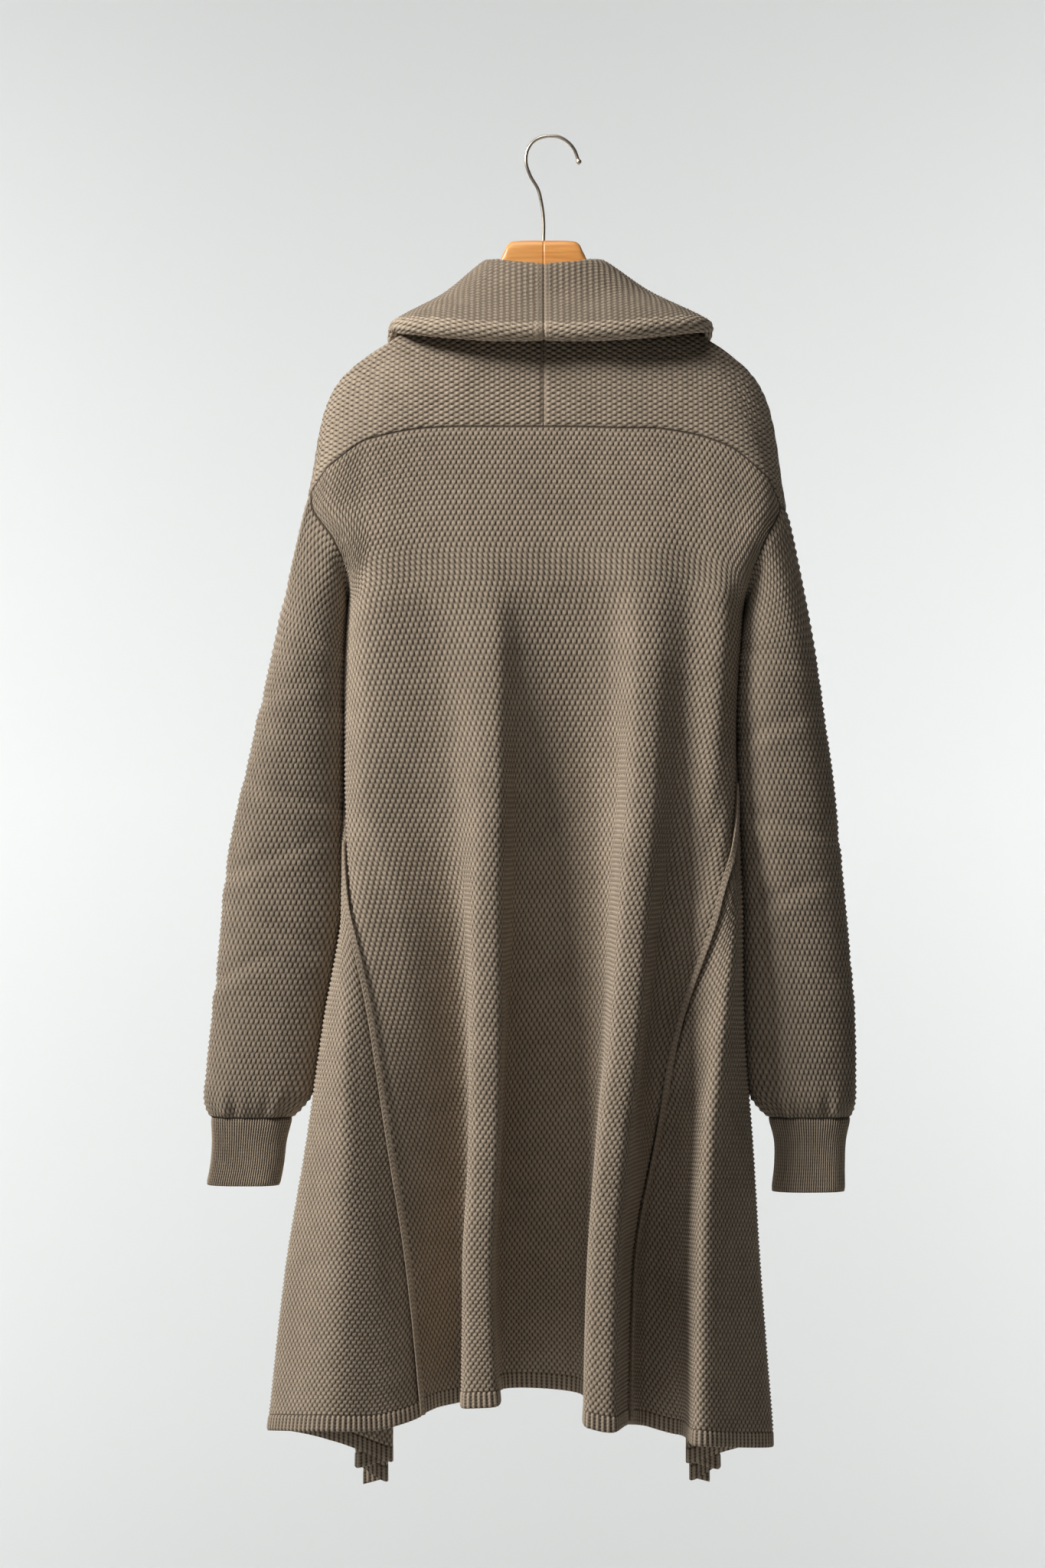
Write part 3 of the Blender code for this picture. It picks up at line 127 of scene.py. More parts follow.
FRONT_RIGHT = (
    (-236, 187, 20, 179, 23, 171, 25, 160, 26, 150, 27, 140, 28, 126, 28, 111, 28,
     99, 28, 91, 28, 83, 28, 74, 27),
    (-293, 187, 22, 179, 27, 170, 29, 160, 29, 150, 29, 140, 29, 126, 29, 111, 29,
     99, 29, 91, 29, 83, 29, 75, 28),
    (-323, 174, 32, 168, 32, 162, 32, 154, 32, 146, 31, 138, 31, 125, 30, 111, 30,
     99, 30, 91, 30, 84, 30, 76, 29),
    (-354, 162, 22, 160, 26, 156, 29, 151, 31, 145, 31, 137, 31, 125, 31, 111, 31,
     100, 31, 92, 31, 85, 30, 77, 29),
    (-380, 156, 2, 157, 8, 156, 14, 154, 20, 149, 25, 141, 29, 126, 31, 111, 32,
     101, 32, 92, 32, 86, 31, 78, 30),
    (-440, 151, -2, 152, 3, 152, 8, 151, 13, 148, 18, 142, 24, 130, 29, 112, 33,
     102, 34, 94, 34, 87, 33, 80, 31),
    (-512, 151, -19, 152, -14, 153, -8, 153, -2, 152, 5, 149, 13, 139, 24, 118, 31,
     105, 36, 100, 37, 92, 38, 83, 35),
    (-561, 148, -31, 150, -29, 152, -26, 154, -20, 155, -10, 154, 0, 147, 17,
     124, 29, 108, 36, 102, 38, 92, 40, 84, 39),
    (-609, 138, -40, 142, -41, 146, -41, 150, -38, 155, -28, 156, -12, 151, 13,
     128, 28, 111, 36, 103, 40, 93, 43, 86, 42),
    (-705, 109, -27, 117, -32, 129, -43, 139, -49, 151, -34, 158, -12, 154, 14,
     132, 30, 110, 37, 109, 45, 98, 48, 96, 55),
    (-801, 87, -14, 97, -10, 112, -22, 129, -54, 150, -34, 165, -10, 160, 16,
     138, 30, 112, 40, 121, 49, 107, 55, 110, 63),
    (-898, 69, -28, 84, -6, 106, -18, 124, -57, 151, -36, 171, -9, 166, 17,
     144, 31, 114, 42, 131, 51, 113, 59, 123, 67),
    (-1024, 65, -42, 82, -2, 106, -10, 121, -62, 153, -42, 181, -9, 174, 18,
     150, 32, 117, 44, 142, 54, 121, 63, 136, 72),
)
FRONT_RIGHT_TOP = (-296, -281, -268, -257, -251, -246, -240, -237, -235, -234, -233, -233)
FRONT_RIGHT_HEM = (-1017, -1026, -1031, -1030, -1035, -1041, -1044, -1052, -1064, -1071,
                   -1082, -1086)

# Neckline from the centre back over the shoulder to the top of the front edge (left side).
NECK = (
    (0, -20.5, -151), (-18, -19.5, -149), (-34, -16, -139.5), (-45, -8.5, -123.5),
    (-48.5, 0, -116.5), (-50, 6, -122), (-53, 11, -136), (-60, 18, -165), (-68, 24, -205),
    (-74, 27, -232),
)
FOLD_RADIUS = 2.9                                         # half the width of the collar's fold
FRONT_EDGE = 14.0                         # column position of the free front edge
FRONT_EDGE_Z = (-293, -370, -450, -530)   # the collar follows the front edge through these

# Yoke stations from the centre back to the front edge (left side): place on the neckline,
# column of the back panel (>= 0) or front panel (< 0) met at the lower seam, two points between.
YOKE_LEFT = (
    (0.0, 6.56, 0, -27, -175, 0, -33, -203),
    (1.0, 4.8, -28, -27, -174, -39, -33, -203),
    (2.0, 3.0, -53, -25, -168, -73, -33, -202),
    (2.8, 2.1, -74, -17, -153, -107, -28, -196),
    (3.4, 1.2, -88, -10, -147, -140, -19, -196),
    (3.8, 0.0, -96, -5, -147, -156, -11, -199),
    (4.0, None, -98, 0, -149, -162, 0, -195),
    (4.3, -0.0001, -96, 5, -150, -156, 11, -199),
    (5.0, -2.6, -88, 10, -152, -138, 20, -200),
    (6.0, -5.6, -78, 17, -164, -108, 25, -200),
    (7.0, -8.6, -74, 22, -186, -87, 26, -208),
    (8.4, -14.0, -71.5, 25.8, -221.5, -72.5, 26.5, -227),
)
YOKE_RIGHT = (
    (0.0, 6.56, 0, -27, -175, 0, -33, -203),
    (1.0, 8.2, 28, -27, -173, 39, -33, -202),
    (2.0, 10.0, 55, -25, -166, 77, -33, -201),
    (2.8, 11.0, 78, -17, -150, 113, -28, -192),
    (3.4, 12.0, 92, -10, -143, 144, -19, -191),
    (3.8, 13.0, 100, -5, -144, 160, -11, -194),
    (4.0, None, 102, 0, -146, 166, 0, -191),
    (4.3, -0.0001, 100, 5, -147, 160, 11, -194),
    (5.0, -2.6, 90, 10, -150, 142, 20, -198),
    (6.0, -5.6, 80, 17, -163, 110, 25, -200),
    (7.0, -8.6, 74, 22, -186, 88, 26, -208),
    (8.4, -14.0, 71.5, 25.8, -221.5, 72.5, 26.5, -227),
)
SHOULDER_END = {"left": (-187, 0, -288), "right": (193, 0, -298)}

# Collar stations along the neckline and front edge (left side): fold, middle of the fall,
# centre of the rolled edge, its radius and how far round it curls.
COLLAR_LEFT = (
    (0, -17, -105, 0, -33, -132, 0, -47, -160, 7.0, 250),
    (-20, -15.5, -103, -32, -32, -131, -42, -48, -160, 7.0, 250),
    (-34, -11, -101, -58, -26, -129, -82, -43, -157, 6.5, 240),
    (-41.5, -5, -101, -74, -15, -127, -110, -28, -154, 5.0, 215),
    (-42, 1, -101.5, -80, 0, -125.5, -118, -2, -152, 4.0, 190),
    (-43, 8, -106, -82, 14, -132, -120, 23, -162, 4.0, 180),
    (-44, 14, -122, -84, 24, -150, -118, 32, -182, 4.0, 180),
    (-49, 20, -155, -86, 31, -176, -116, 38, -202, 4.0, 180),
    (-55, 27, -200, -87, 36, -209, -115, 41, -226, 4.0, 180),
    (-60, 31, -234, -87, 38, -240, -112, 42, -252, 4.0, 180),
    (-63, 33, -293, -86, 39, -296, -106, 42, -302, 4.0, 180),
    (-68, 35.5, -370, -87, 41, -372, -100, 43, -376, 3.5, 180),
    (-72, 38, -450, -86, 43.5, -452, -95, 45, -454, 3.5, 150),
    (-76, 41, -530, -84, 46, -531, -89, 48, -532, 3.0, 120),
)
COLLAR_RIGHT = (
    (0, -17, -105, 0, -33, -132, 0, -47, -160, 7.0, 250),
    (20, -15.5, -103, 32, -32, -130, 42, -48, -160, 7.0, 250),
    (34, -11, -101, 60, -26, -127, 86, -43, -157, 6.5, 240),
    (41.5, -5, -101, 78, -15, -125, 120, -28, -153, 5.0, 215),
    (42, 1, -101, 84, 0, -123.5, 130, -2, -152, 4.0, 190),
    (43, 8, -105, 85, 14, -130, 128, 23, -161, 4.0, 180),
    (44, 14, -122, 86, 24, -150, 124, 32, -182, 4.0, 180),
    (49, 20, -155, 87, 31, -176, 120, 38, -202, 4.0, 180),
    (55, 27, -200, 88, 36, -209, 117, 41, -226, 4.0, 180),
    (60, 31, -234, 88, 38, -240, 113, 42, -252, 4.0, 180),
    (63, 33, -293, 86, 39, -296, 106, 42, -302, 4.0, 180),
    (68, 35.5, -370, 87, 41, -372, 100, 43, -376, 3.5, 180),
    (72, 38, -450, 86, 43.5, -452, 95, 45, -454, 3.5, 150),
    (76, 41, -530, 84, 46, -531, 89, 48, -532, 3.0, 120),
)

# Sleeve and cuff sections: height, outer x, inner x, back y, front y.
SLEEVE_LEFT = (
    (-415, -216, -161, -34, 34), (-464, -227, -162, -31, 34), (-512, -238, -163, -28, 33),
    (-573, -251, -164, -25, 32), (-634, -257, -167, -22, 30), (-695, -263, -177, -20, 28),
    (-744, -268, -186, -19, 26), (-769, -269, -195, -17, 24), (-780, -265, -201, -13, 19),
)
SLEEVE_RIGHT = (
    (-415, 216, 161, -34, 34), (-464, 223, 157, -31, 34), (-512, 230, 157, -28, 33),
    (-573, 236, 159, -25, 32), (-634, 242, 162, -22, 30), (-695, 247, 163, -20, 28),
    (-744, 248, 168, -19, 26), (-769, 247, 174, -17, 24), (-780, 244, 180, -13, 19),
)
CUFF_LEFT = (
    (-780.5, -264, -201.5, -12.5, 18.5), (-799, -263, -206, -11, 16), (-817, -264, -208, -11, 15),
    (-834, -267, -211, -12, 16),
)
CUFF_RIGHT = (
    (-780.5, 243.5, 180.5, -12.5, 18.5), (-799, 239.5, 185, -11, 16), (-817, 238.5, 185, -11, 15),
    (-839, 238.5, 182.5, -12, 16),
)
SLEEVE_SQUARENESS = 2.4    # exponent of the flattened sleeve section
LEAD_OUT = (3.0, 6.0)      # how far a sleeve first leads outward, at its top and added below
LEAD_DOWN = (-12.0, 9.0)   # and downward
REACH = 2.5                # a curve's tangent is at most this many of its shorter neighbour span

# Hanger wood: distance from the centre, top and bottom height.
WOOD = (
    (0.3, -82.0, -122), (1.0, -82.0, -122), (14, -82.0, -122.5), (24, -82.6, -124),
    (28.5, -85, -126), (31, -90, -128), (35.5, -101, -133), (37, -112, -136), (39, -121, -139),
    (46, -127, -145), (60, -134, -153), (98, -157, -175), (130, -179, -196), (150, -194, -209),
    (157, -201, -213), (161, -205, -211),
)
WOOD_ROUNDING = 0.6        # exponent that rounds the board's edges
WOOD_TIP_FROM = 156.0      # beyond this the board thins
TIP_THINNING = 2.0
# Hook wire: centre line in the hanger's plane.
HOOK = (
    (0, -93.5), (0, -82), (0, -66), (-1.5, -53), (-4.5, -41), (-10.5, -30.5), (-14, -19),
    (-12.4, -9), (-6.5, -1.8), (2, 1.2), (6.2, 1.4), (12, 0.7), (19, -3.2), (24.5, -9.6),
    (27.3, -17),
)


def monotone_rows(knots, values, at):
    """Each column of values drawn smoothly through its knots, without overshoot."""
    knots = np.asarray(knots, float)
    values = np.asarray(values, float)
    at = np.clip(np.asarray(at, float), knots[0], knots[-1])
    step = np.diff(knots)[:, None]
    slope = np.diff(values, axis=0) / step
    left, right = slope[:-1], slope[1:]
    same = (left * right) > 0
    w1 = 2 * step[1:] + step[:-1]
    w2 = step[1:] + 2 * step[:-1]
    safe_left = np.where(same, left, 1.0)
    safe_right = np.where(same, right, 1.0)
    inner = np.where(same, (w1 + w2) / (w1 / safe_left + w2 / safe_right), 0.0)
    tangent = np.vstack([slope[:1], inner, slope[-1:]])
    i = np.clip(np.searchsorted(knots, at, side="right") - 1, 0, len(knots) - 2)
    h = step[i]
    t = ((at - knots[i])[:, None]) / h
    a = (1 + 2 * t) * (1 - t) ** 2 * values[i] + t * (1 - t) ** 2 * h * tangent[i]
    b = t * t * (3 - 2 * t) * values[i + 1] + t * t * (t - 1) * h * tangent[i + 1]
    return a + b


def blended(slope, chord, step):
    """End slopes mixed with the slope of the step to the neighbour beyond."""
    reach = np.linalg.norm(step, axis=2)[..., None] + 1e-6
    return (slope * reach + step / reach * chord) / (reach + chord)


def through(points, u, before=None, after=None):
    """Points on rounded curves: points is (n, columns, axes), u counts columns, one per n."""
    chord = np.linalg.norm(np.diff(points, axis=1), axis=2)[..., None] + 1e-6
    slope = np.diff(points, axis=1) / chord
    first, last = slope[:, :1], slope[:, -1:]
    if before is not None:
        first = blended(first, chord[:, :1], points[:, :1] - before[:, None])
    if after is not None:
        last = blended(last, chord[:, -1:], after[:, None] - points[:, -1:])
    middle = (slope[:, 1:] * chord[:, :-1] + slope[:, :-1] * chord[:, 1:])
    middle = middle / (chord[:, :-1] + chord[:, 1:])
    tangent = np.concatenate([first, middle, last], axis=1)
    beside = np.minimum(chord[:, 1:], chord[:, :-1])
    reach = REACH * np.concatenate([chord[:, :1], beside, chord[:, -1:]], axis=1)
    i = np.clip(np.floor(u).astype(int), 0, points.shape[1] - 2)
    n = np.arange(len(u))
    t = (u - i)[:, None]
    start = np.minimum(chord[n, i], reach[n, i]) * tangent[n, i]
    end = np.minimum(chord[n, i], reach[n, i + 1]) * tangent[n, i + 1]
    a = (1 + 2 * t) * (1 - t) ** 2 * points[n, i] + t * (1 - t) ** 2 * start
    b = t * t * (3 - 2 * t) * points[n, i + 1] + t * t * (t - 1) * end
    return a + b


def one_curve(points, u):
    """Points at u on a single rounded curve through the given points."""
    points = np.asarray(points, float)
    u = np.atleast_1d(np.asarray(u, float))
    return through(np.repeat(points[None], len(u), axis=0), u)


def plan(table, z):
    """Control points in plan at each height z: (n, columns, 2)."""
    rows = np.array(table, float)[::-1]
    values = monotone_rows(rows[:, 0], rows[:, 1:], z)
    return values.reshape(len(values), -1, 2)


def paired(values):
    """Per-column values of a front, with each turn column given twice."""
    return [values[c] for c in (0, 1, 2, 3, 4, 5, 6, 7, 8, 8, 9, 9, 10, 10, 11)]


FRONTS = {"left": (FRONT_LEFT, paired(FRONT_LEFT_TOP), paired(FRONT_LEFT_HEM)),
          "right": (FRONT_RIGHT, paired(FRONT_RIGHT_TOP), paired(FRONT_RIGHT_HEM))}


def front_plan(side, z):
    """Control points of a front in plan, with each turn drawn as a pair of points."""
    here = plan(FRONTS[side][0], z)
    sewn_edge = plan(BACK, z)[:, 0 if side == "left" else -1]
    here[:, 0] = np.where((z < UNDERARM_Z)[:, None], sewn_edge, here[:, 0])
    rows = np.array(TURN_RADIUS, float)
    radius = monotone_rows(rows[:, 0], rows[:, 1:], z)[:, 0]
    flat = TURN_SPREAD * (1 - radius / rows[:, 1].max()) * SIGN[side]
    shift = np.stack([flat, radius], axis=1)
    columns = [here[:, c] for c in range(8)]
    for c in (8, 9, 10):
        columns.extend((here[:, c] - shift, here[:, c] + shift))
    columns.append(here[:, 11])
    return np.stack(columns, axis=1)


def column_value(values, u):
    """A per-column value drawn smoothly between columns."""
    values = np.asarray(values, float)[:, None]
    return monotone_rows(np.arange(len(values)), values, u)[:, 0]


YOKES = {"left": YOKE_LEFT, "right": YOKE_RIGHT}
COLLARS = {"left": COLLAR_LEFT, "right": COLLAR_RIGHT}
SLEEVES = {"left": SLEEVE_LEFT, "right": SLEEVE_RIGHT}
CUFFS = {"left": CUFF_LEFT, "right": CUFF_RIGHT}
SIGN = {"left": 1.0, "right": -1.0}


def back_point(u, z):
    """Back panel surface at column position u and height z."""
    here = plan(BACK, z)
    sewn = (z < UNDERARM_Z)[:, None]
    left_next = front_plan("left", z)[:, 1]
    right_next = front_plan("right", z)[:, 1]
    before = np.where(sewn, left_next, 2 * here[:, 0] - here[:, 1])
    after = np.where(sewn, right_next, 2 * here[:, -1] - here[:, -2])
    xy = through(here, u, before, after)
    return np.column_stack([xy, z])


def front_point(side, u, z):
    """Front panel surface, column 0 at the side seam."""
    here = front_plan(side, z)
    sewn = (z < UNDERARM_Z)[:, None]
    back = plan(BACK, z)
    neighbour = back[:, 1] if side == "left" else back[:, -2]
    before = np.where(sewn, neighbour, 2 * here[:, 0] - here[:, 1])
    xy = through(here, u, before)
    return np.column_stack([xy, z])


def unit(vectors):
    return vectors / (np.linalg.norm(vectors, axis=-1, keepdims=True) + 1e-12)


def normals(grid, closed=False):
    """Surface normals of a grid, pointing along rows x columns."""
    if closed:
        wrapped = np.concatenate([grid[:, -1:], grid, grid[:, :1]], axis=1)
        du = (wrapped[:, 2:] - wrapped[:, :-2])
    else:
        du = np.gradient(grid, axis=1)
    dv = np.gradient(grid, axis=0)
    return unit(np.cross(du, dv))


def facing(normal, row, column, toward):
    """Normals turned so that the one at (row, column) looks toward the given direction."""
    if np.dot(normal[row, column], toward) < 0:
        return -normal
    return normal


def neck_curve(side, k):
    """Neckline, continued down the front edge, at station positions k."""
    flip = SIGN[side]
    neck = [(x * flip, y, z) for x, y, z in NECK]
    edge_z = np.array(FRONT_EDGE_Z, float)
    edge = front_point(side, np.full(len(edge_z), FRONT_EDGE), edge_z)
    return one_curve(np.vstack([neck, edge]), k)


def neck_position(side, stations):
    """Neckline position met by each yoke station."""
    table = YOKES[side]
    at = np.array([[row[0]] for row in table], float)
    return monotone_rows(np.arange(len(table)), at, stations)[:, 0]


def seam_column(side, stations, back):
    """Column of the back or front panel met by each yoke station."""
    table = YOKES[side]
    rows = range(0, YOKE_BACK + 1) if back else range(YOKE_FRONT, len(table))
    at = np.array([[abs(table[row][1])] for row in rows], float)
    return monotone_rows(np.array(list(rows)), at, stations)[:, 0]


def angles(count):
    """Angles evenly round a circle."""
    return np.linspace(0, FULL_TURN, count, endpoint=False)


def bent(wave, power):
    """Sine or cosine made squarer or rounder, with its sign kept."""
    return np.sign(wave) * np.abs(wave) ** power


def ring(section, count):
    """Flattened oval at one height: starts at the outer edge, goes by the back."""
    z, outer, inner, back, front = section
    angle, power = angles(count), 2 / SLEEVE_SQUARENESS
    x = (outer + inner) / 2 + (outer - inner) / 2 * bent(np.cos(angle), power)
    y = (back + front) / 2 - (front - back) / 2 * bent(np.sin(angle), power)
    return np.column_stack([x, y, np.full(count, z)])


# Stitches. A wale is one bump across, a course one row of bumps down.
WALE = 4.4                 # width of a bump on the body
COURSE_HEIGHTS = ((-1010, 3.15), (-900, 3.35), (-800, 3.5), (-710, 3.7), (-620, 3.85),
                  (-480, 4.05), (-400, 4.45), (-330, 4.3), (-280, 4.0), (-230, 3.8))
SLEEVE_WALE = 4.1
SLEEVE_COURSE = 4.5
YOKE_COLUMN = 4.0          # spacing of the upright bump columns on the yoke
YOKE_BUMP = 4.9            # bump height in such a column
FALL_COLUMN = 4.7
FALL_BUMP = 3.7
FALL_RIDGE = 0.35          # share of the fall's relief that is upright ridges
FALL_MOSS = 0.65           # and bump stitch
HEM_RIB = 4.1
FACE_OUT = 1.15            # visual outer face, from the middle of the solid's wall
FACE_IN = 1.0              # visual inner face
BUMP_UP = 0.5
PIT_DOWN = 0.95
ROW_GROOVE = 0.8           # depth of the groove between courses, as a share of a pit
LINE_SAMPLES = 700
EVEN_COLUMNS = 241
FLAT_COLUMN = 160          # even column in the flat part of a front, which faces forward
INNER_ROWS = 4             # the inside has one row for so many outside
INNER_COLUMNS = 3
LEVEL_FROM = 0.42          # share of the back's height where the seam's line has died out
LEVEL_TO = 0.84            # share where the hem's line begins to show
SLIVER = 0.35              # narrowest stitch at a cut edge, in half wales
SLEEVE_OVERLAP = 1.2       # how far the sleeve's and the body's outlines cover each other
STRIP_LIFT = 3.5           # middle of the strip above the middle of the walls
FRONT_ANCHOR = 4.0         # a front's wales are set out from this column
SELVEDGE_TOP = {"left": -560.0, "right": -515.0}
EDGE_DIP = 1.3             # how far a sewn edge turns in
EDGE_DIP_WIDTH = 2.2
PLAIN_EDGE = 2.0           # width of the plain stitches beside a sewn edge
SCATTER = 0.12             # how unevenly the stitches stand up
FAR = 99.0                 # a distance beyond every edge's reach
BACK_LAST = 13.0           # last column of the back, at its right side seam
FRONT_LAST = 14.0          # last column of a front, at its free edge
FACE_ROW = 100             # half courses down where a panel's direction is read
CHECK_ROW = 9              # and where its faces' winding is read
BACKWARD = [0, 3, 2, 1]    # corner order of a face seen from its other side
STRIP_SIDES = 20
STRIP_STEP = 1.9           # height of half a stitch of the selvedge
STRIP_START = 14.0         # half stitches over which the selvedge grows from its top end
YOKE_LAST = 11             # last station of the yoke, at the front edge
YOKE_BACK = 5              # last station on the back's seam
YOKE_FRONT = 7             # first station on the front's seam
YOKE_STEP = 1.25           # spacing of the yoke's columns of vertices
COLLAR_LAST = 13           # last station of the collar
COLLAR_STEP = 1.35
FINE = 100                 # fine steps to a station
CURL_STEPS = 24
FALL_FROM = 1.5            # the fall's start down the collar, in control points
ROLL_FROM = 3.9            # the roll's
FALL_PLAIN = 3.6           # plain stitches beside the fall's centre seam
ROLL_PLAIN = {"left": 8.5, "right": 3.0}
SLEEVE_ROUND = 228         # girth that the sleeve's wales are counted from
FINE_RING = 720            # points of a section before it is spaced evenly
CUFF_RIBS = 78
WOOD_SIDES = 40
HOOK_SIDES = 20
rng = np.random.default_rng(17)


def run_of(line):
    """Running length along a curve or along each row of a grid."""
    step = np.linalg.norm(np.diff(line, axis=-2), axis=-1)
    return np.concatenate([np.zeros(step.shape[:-1] + (1,)), np.cumsum(step, axis=-1)], axis=-1)


def evenly(line, count):
    """A curve as count evenly spaced points, with its own columns carried along."""
    run = run_of(line[:, :3])
    at = np.linspace(0, run[-1], count)
    return np.column_stack([np.interp(at, run, line[:, a]) for a in range(line.shape[1])])


def even_ring(loop, count):
    """A closed loop as count evenly spaced points."""
    return evenly(np.vstack([loop, loop[:1]]), count + 1)[:-1]


def wrapped(grid, further=0):
    """A closed grid with its first column repeated at the end."""
    return np.concatenate([grid, grid[:, :1] + further], axis=1)


def course_fractions(steps_per_course):
    """Fractions of the way down the panels at which the courses lie."""
    z = np.linspace(-230, -1010, 1500)
    table = np.array(COURSE_HEIGHTS, float)
    spacing = np.interp(z, table[:, 0], table[:, 1])
    count = np.concatenate([[0], np.cumsum((z[0] - z[1]) / spacing[1:])])
    courses = int(round(count[-1]))
    at = np.linspace(0, count[-1], courses * steps_per_course + 1)
    return (z[0] - np.interp(at, count, z)) / (z[0] - z[-1])


def smooth(share):
    """A share from 0 to 1 that starts and ends softly."""
    share = np.clip(share, 0, 1)
    return share ** 2 * (3 - 2 * share)


def level_courses(f, top_z, low_z):
    """Height of a course that follows the yoke seam, then runs level, then follows the hem."""
    top, low = top_z.mean(), low_z.mean()
    from_top = smooth(1 - f / LEVEL_FROM)
    from_low = smooth((f - LEVEL_TO) / (1 - LEVEL_TO))
    return top + (low - top) * f + (top_z - top) * from_top + (low_z - low) * from_low


def even_courses(f, top_z, low_z):
    """Height of a course that turns evenly from the seam's line into the hem's."""
    return top_z + (low_z - top_z) * f


def panel(point, last, top, hem, height, anchor):
    """Panel as rows of stitches set out from one upright line and cut off at the side edges."""
    u = np.linspace(0, last, LINE_SAMPLES)
    top_z = column_value(top, u)
    low_z = column_value(hem, u) + HEM_BAND
    lines = [point(u, height(f, top_z, low_z)) for f in course_fractions(2)]
    runs = [run_of(line) for line in lines]
    half = WALE / 2
    start = np.array([np.interp(anchor, u, run) for run in runs])
    left = start / half
    right = (np.array([run[-1] for run in runs]) - start) / half
    before = np.ceil(left - SLIVER).astype(int)
    after = np.ceil(right - SLIVER).astype(int)
    first = before.max()
    steps = np.arange(-first, after.max() + 1)
    place = np.where(steps[None] <= -before[:, None], -left[:, None], steps[None] + 0.0)
    place = np.where(steps[None] >= after[:, None], right[:, None], place)
    cut = {"place": place, "low": first - before, "high": first + after, "anchor": first,
           "even": np.array([evenly(line, EVEN_COLUMNS) for line in lines])}
    arcs = start[:, None] + place * half
    cut["share"] = arcs / np.array([run[-1] for run in runs])[:, None]
    cut["points"] = np.array([
        np.column_stack([np.interp(arc, run, line[:, a]) for a in range(3)])
        for arc, run, line in zip(arcs, runs, lines)])
    return cut


def spread(cut, values):
    """Values known on a panel's even grid, read at its stitches."""
    at = np.linspace(0, 1, EVEN_COLUMNS)
    flat = values.reshape(values.shape[0], EVEN_COLUMNS, -1)
    read = [np.column_stack([np.interp(share, at, row[:, a]) for a in range(flat.shape[2])])
            for share, row in zip(cut["share"], flat)]
    return np.array(read).reshape(cut["share"].shape + values.shape[2:])


def cut_shell(name, cut, normal, look):
    """Thin closed shell of a cut panel: stitched outside, plainer inside, joined all round."""
    even = cut["even"]
    outward = unit(spread(cut, normal))
    away = spread(cut, edge_distance(even, bottom=False))
    soft = np.clip(1 - away / PLAIN_EDGE, 0, 1)
    rows, columns = away.shape
    s, t = cut["place"] / 2.0, stitch_grid(rows, columns)[1]
    lift = relief(stitch_height(s, t), soft) - dipped(away)
    outer = cut["points"] + outward * (FACE_OUT + lift)[..., None]
    row_at = np.unique(np.append(np.arange(0, rows, INNER_ROWS), rows - 1))
    column_at = np.unique(np.append(np.arange(0, EVEN_COLUMNS, INNER_COLUMNS), EVEN_COLUMNS - 1))
    inner = (even - normal * FACE_IN)[np.ix_(row_at, column_at)]
    inner_s, inner_t = np.meshgrid(column_at / EVEN_COLUMNS * columns / 2.0, row_at / 2.0)
    r, c = np.indices((rows, columns))
    ids = r * columns + np.clip(c, cut["low"][:, None], cut["high"][:, None])
    inside = rows * columns + numbers(inner)
    quads = grid_quads(ids)
    flat_top, flat_low = quads[:, 0] == quads[:, 1], quads[:, 2] == quads[:, 3]
    faces = [quads[~flat_top & ~flat_low], quads[flat_top & ~flat_low][:, 1:],
             quads[flat_low & ~flat_top][:, :3], grid_quads(inside)[:, BACKWARD],
             zipped(rim(ids, cut), rim_even(inside, row_at, rows))]
    index = corners_of(faces)
    used = np.unique(index)
    number = np.zeros(rows * columns + inner_s.size, int)
    number[used] = np.arange(len(used))
    where = np.column_stack([both(s, inner_s), both(t, inner_t)])
    flip = flipped(outer, CHECK_ROW, cut["anchor"], outward[CHECK_ROW, cut["anchor"]])
    # The sewn attribute carries painted shade along the panel's side and top edges.
    return mesh_piece(name, both(outer, inner)[used], [number[group] for group in faces],
                      where[index], [look], flip, both(soft, 0 * inner_s)[used],
                      both(painted_seam_shade(away), 0 * inner_s)[used])


def rim(ids, cut):
    """Outline of the stitched face: top, last side, lower edge and first side, with places."""
    low, high = cut["low"], cut["high"]
    rows = len(ids)
    down = np.arange(rows) / (rows - 1.0)
    last = [ids[r, high[r]] for r in range(rows)]
    first = [ids[r, low[r]] for r in range(rows)]
    top = ids[0, low[0]:high[0] + 1]
    bottom = ids[-1, low[-1]:high[-1] + 1][::-1]
    loop = np.concatenate([top[:-1], last[:-1], bottom[:-1], first[:0:-1]])
    places = np.concatenate([cut["share"][0, low[0]:high[0]], 1 + down[:-1],
                             3 - cut["share"][-1, low[-1] + 1:high[-1] + 1][::-1],
                             3 + down[:-1]])
    return loop, places


def rim_even(inside, row_at, rows):
    """Outline of the plain inner face, with places."""
    across = np.linspace(0, 1, inside.shape[1])
    down = row_at / (rows - 1.0)
    loop = np.concatenate([inside[0, :-1], inside[:-1, -1], inside[-1, :0:-1],
                           inside[:0:-1, 0]])
    places = np.concatenate([across[:-1], 1 + down[:-1], 2 + across[:-1],
                             4 - down[:0:-1]])
    return loop, places


def zipped(outside, inside):
    """Triangles that join two closed outlines in the order of their places."""
    (one, one_at), (two, two_at) = outside, inside
    one_at, two_at = np.append(one_at, 4.0), np.append(two_at, 4.0)
    faces = []
    i = j = 0
    while i < len(one) or j < len(two):
        a, b = one[i % len(one)], two[j % len(two)]
        if j >= len(two) or (i < len(one) and one_at[i + 1] <= two_at[j + 1]):
            i += 1
            faces.append((one[i % len(one)], a, b))
        else:
            j += 1
            faces.append((b, two[j % len(two)], a))
    return np.array(faces)


def stitch_grid(rows, columns, across=2.0, down=2.0):
    """Stitch coordinates of a grid with so many columns and rows to a stitch."""
    s = np.tile(np.arange(columns) / across, (rows, 1))
    t = np.tile((np.arange(rows) / down)[:, None], (1, columns))
    return s, t


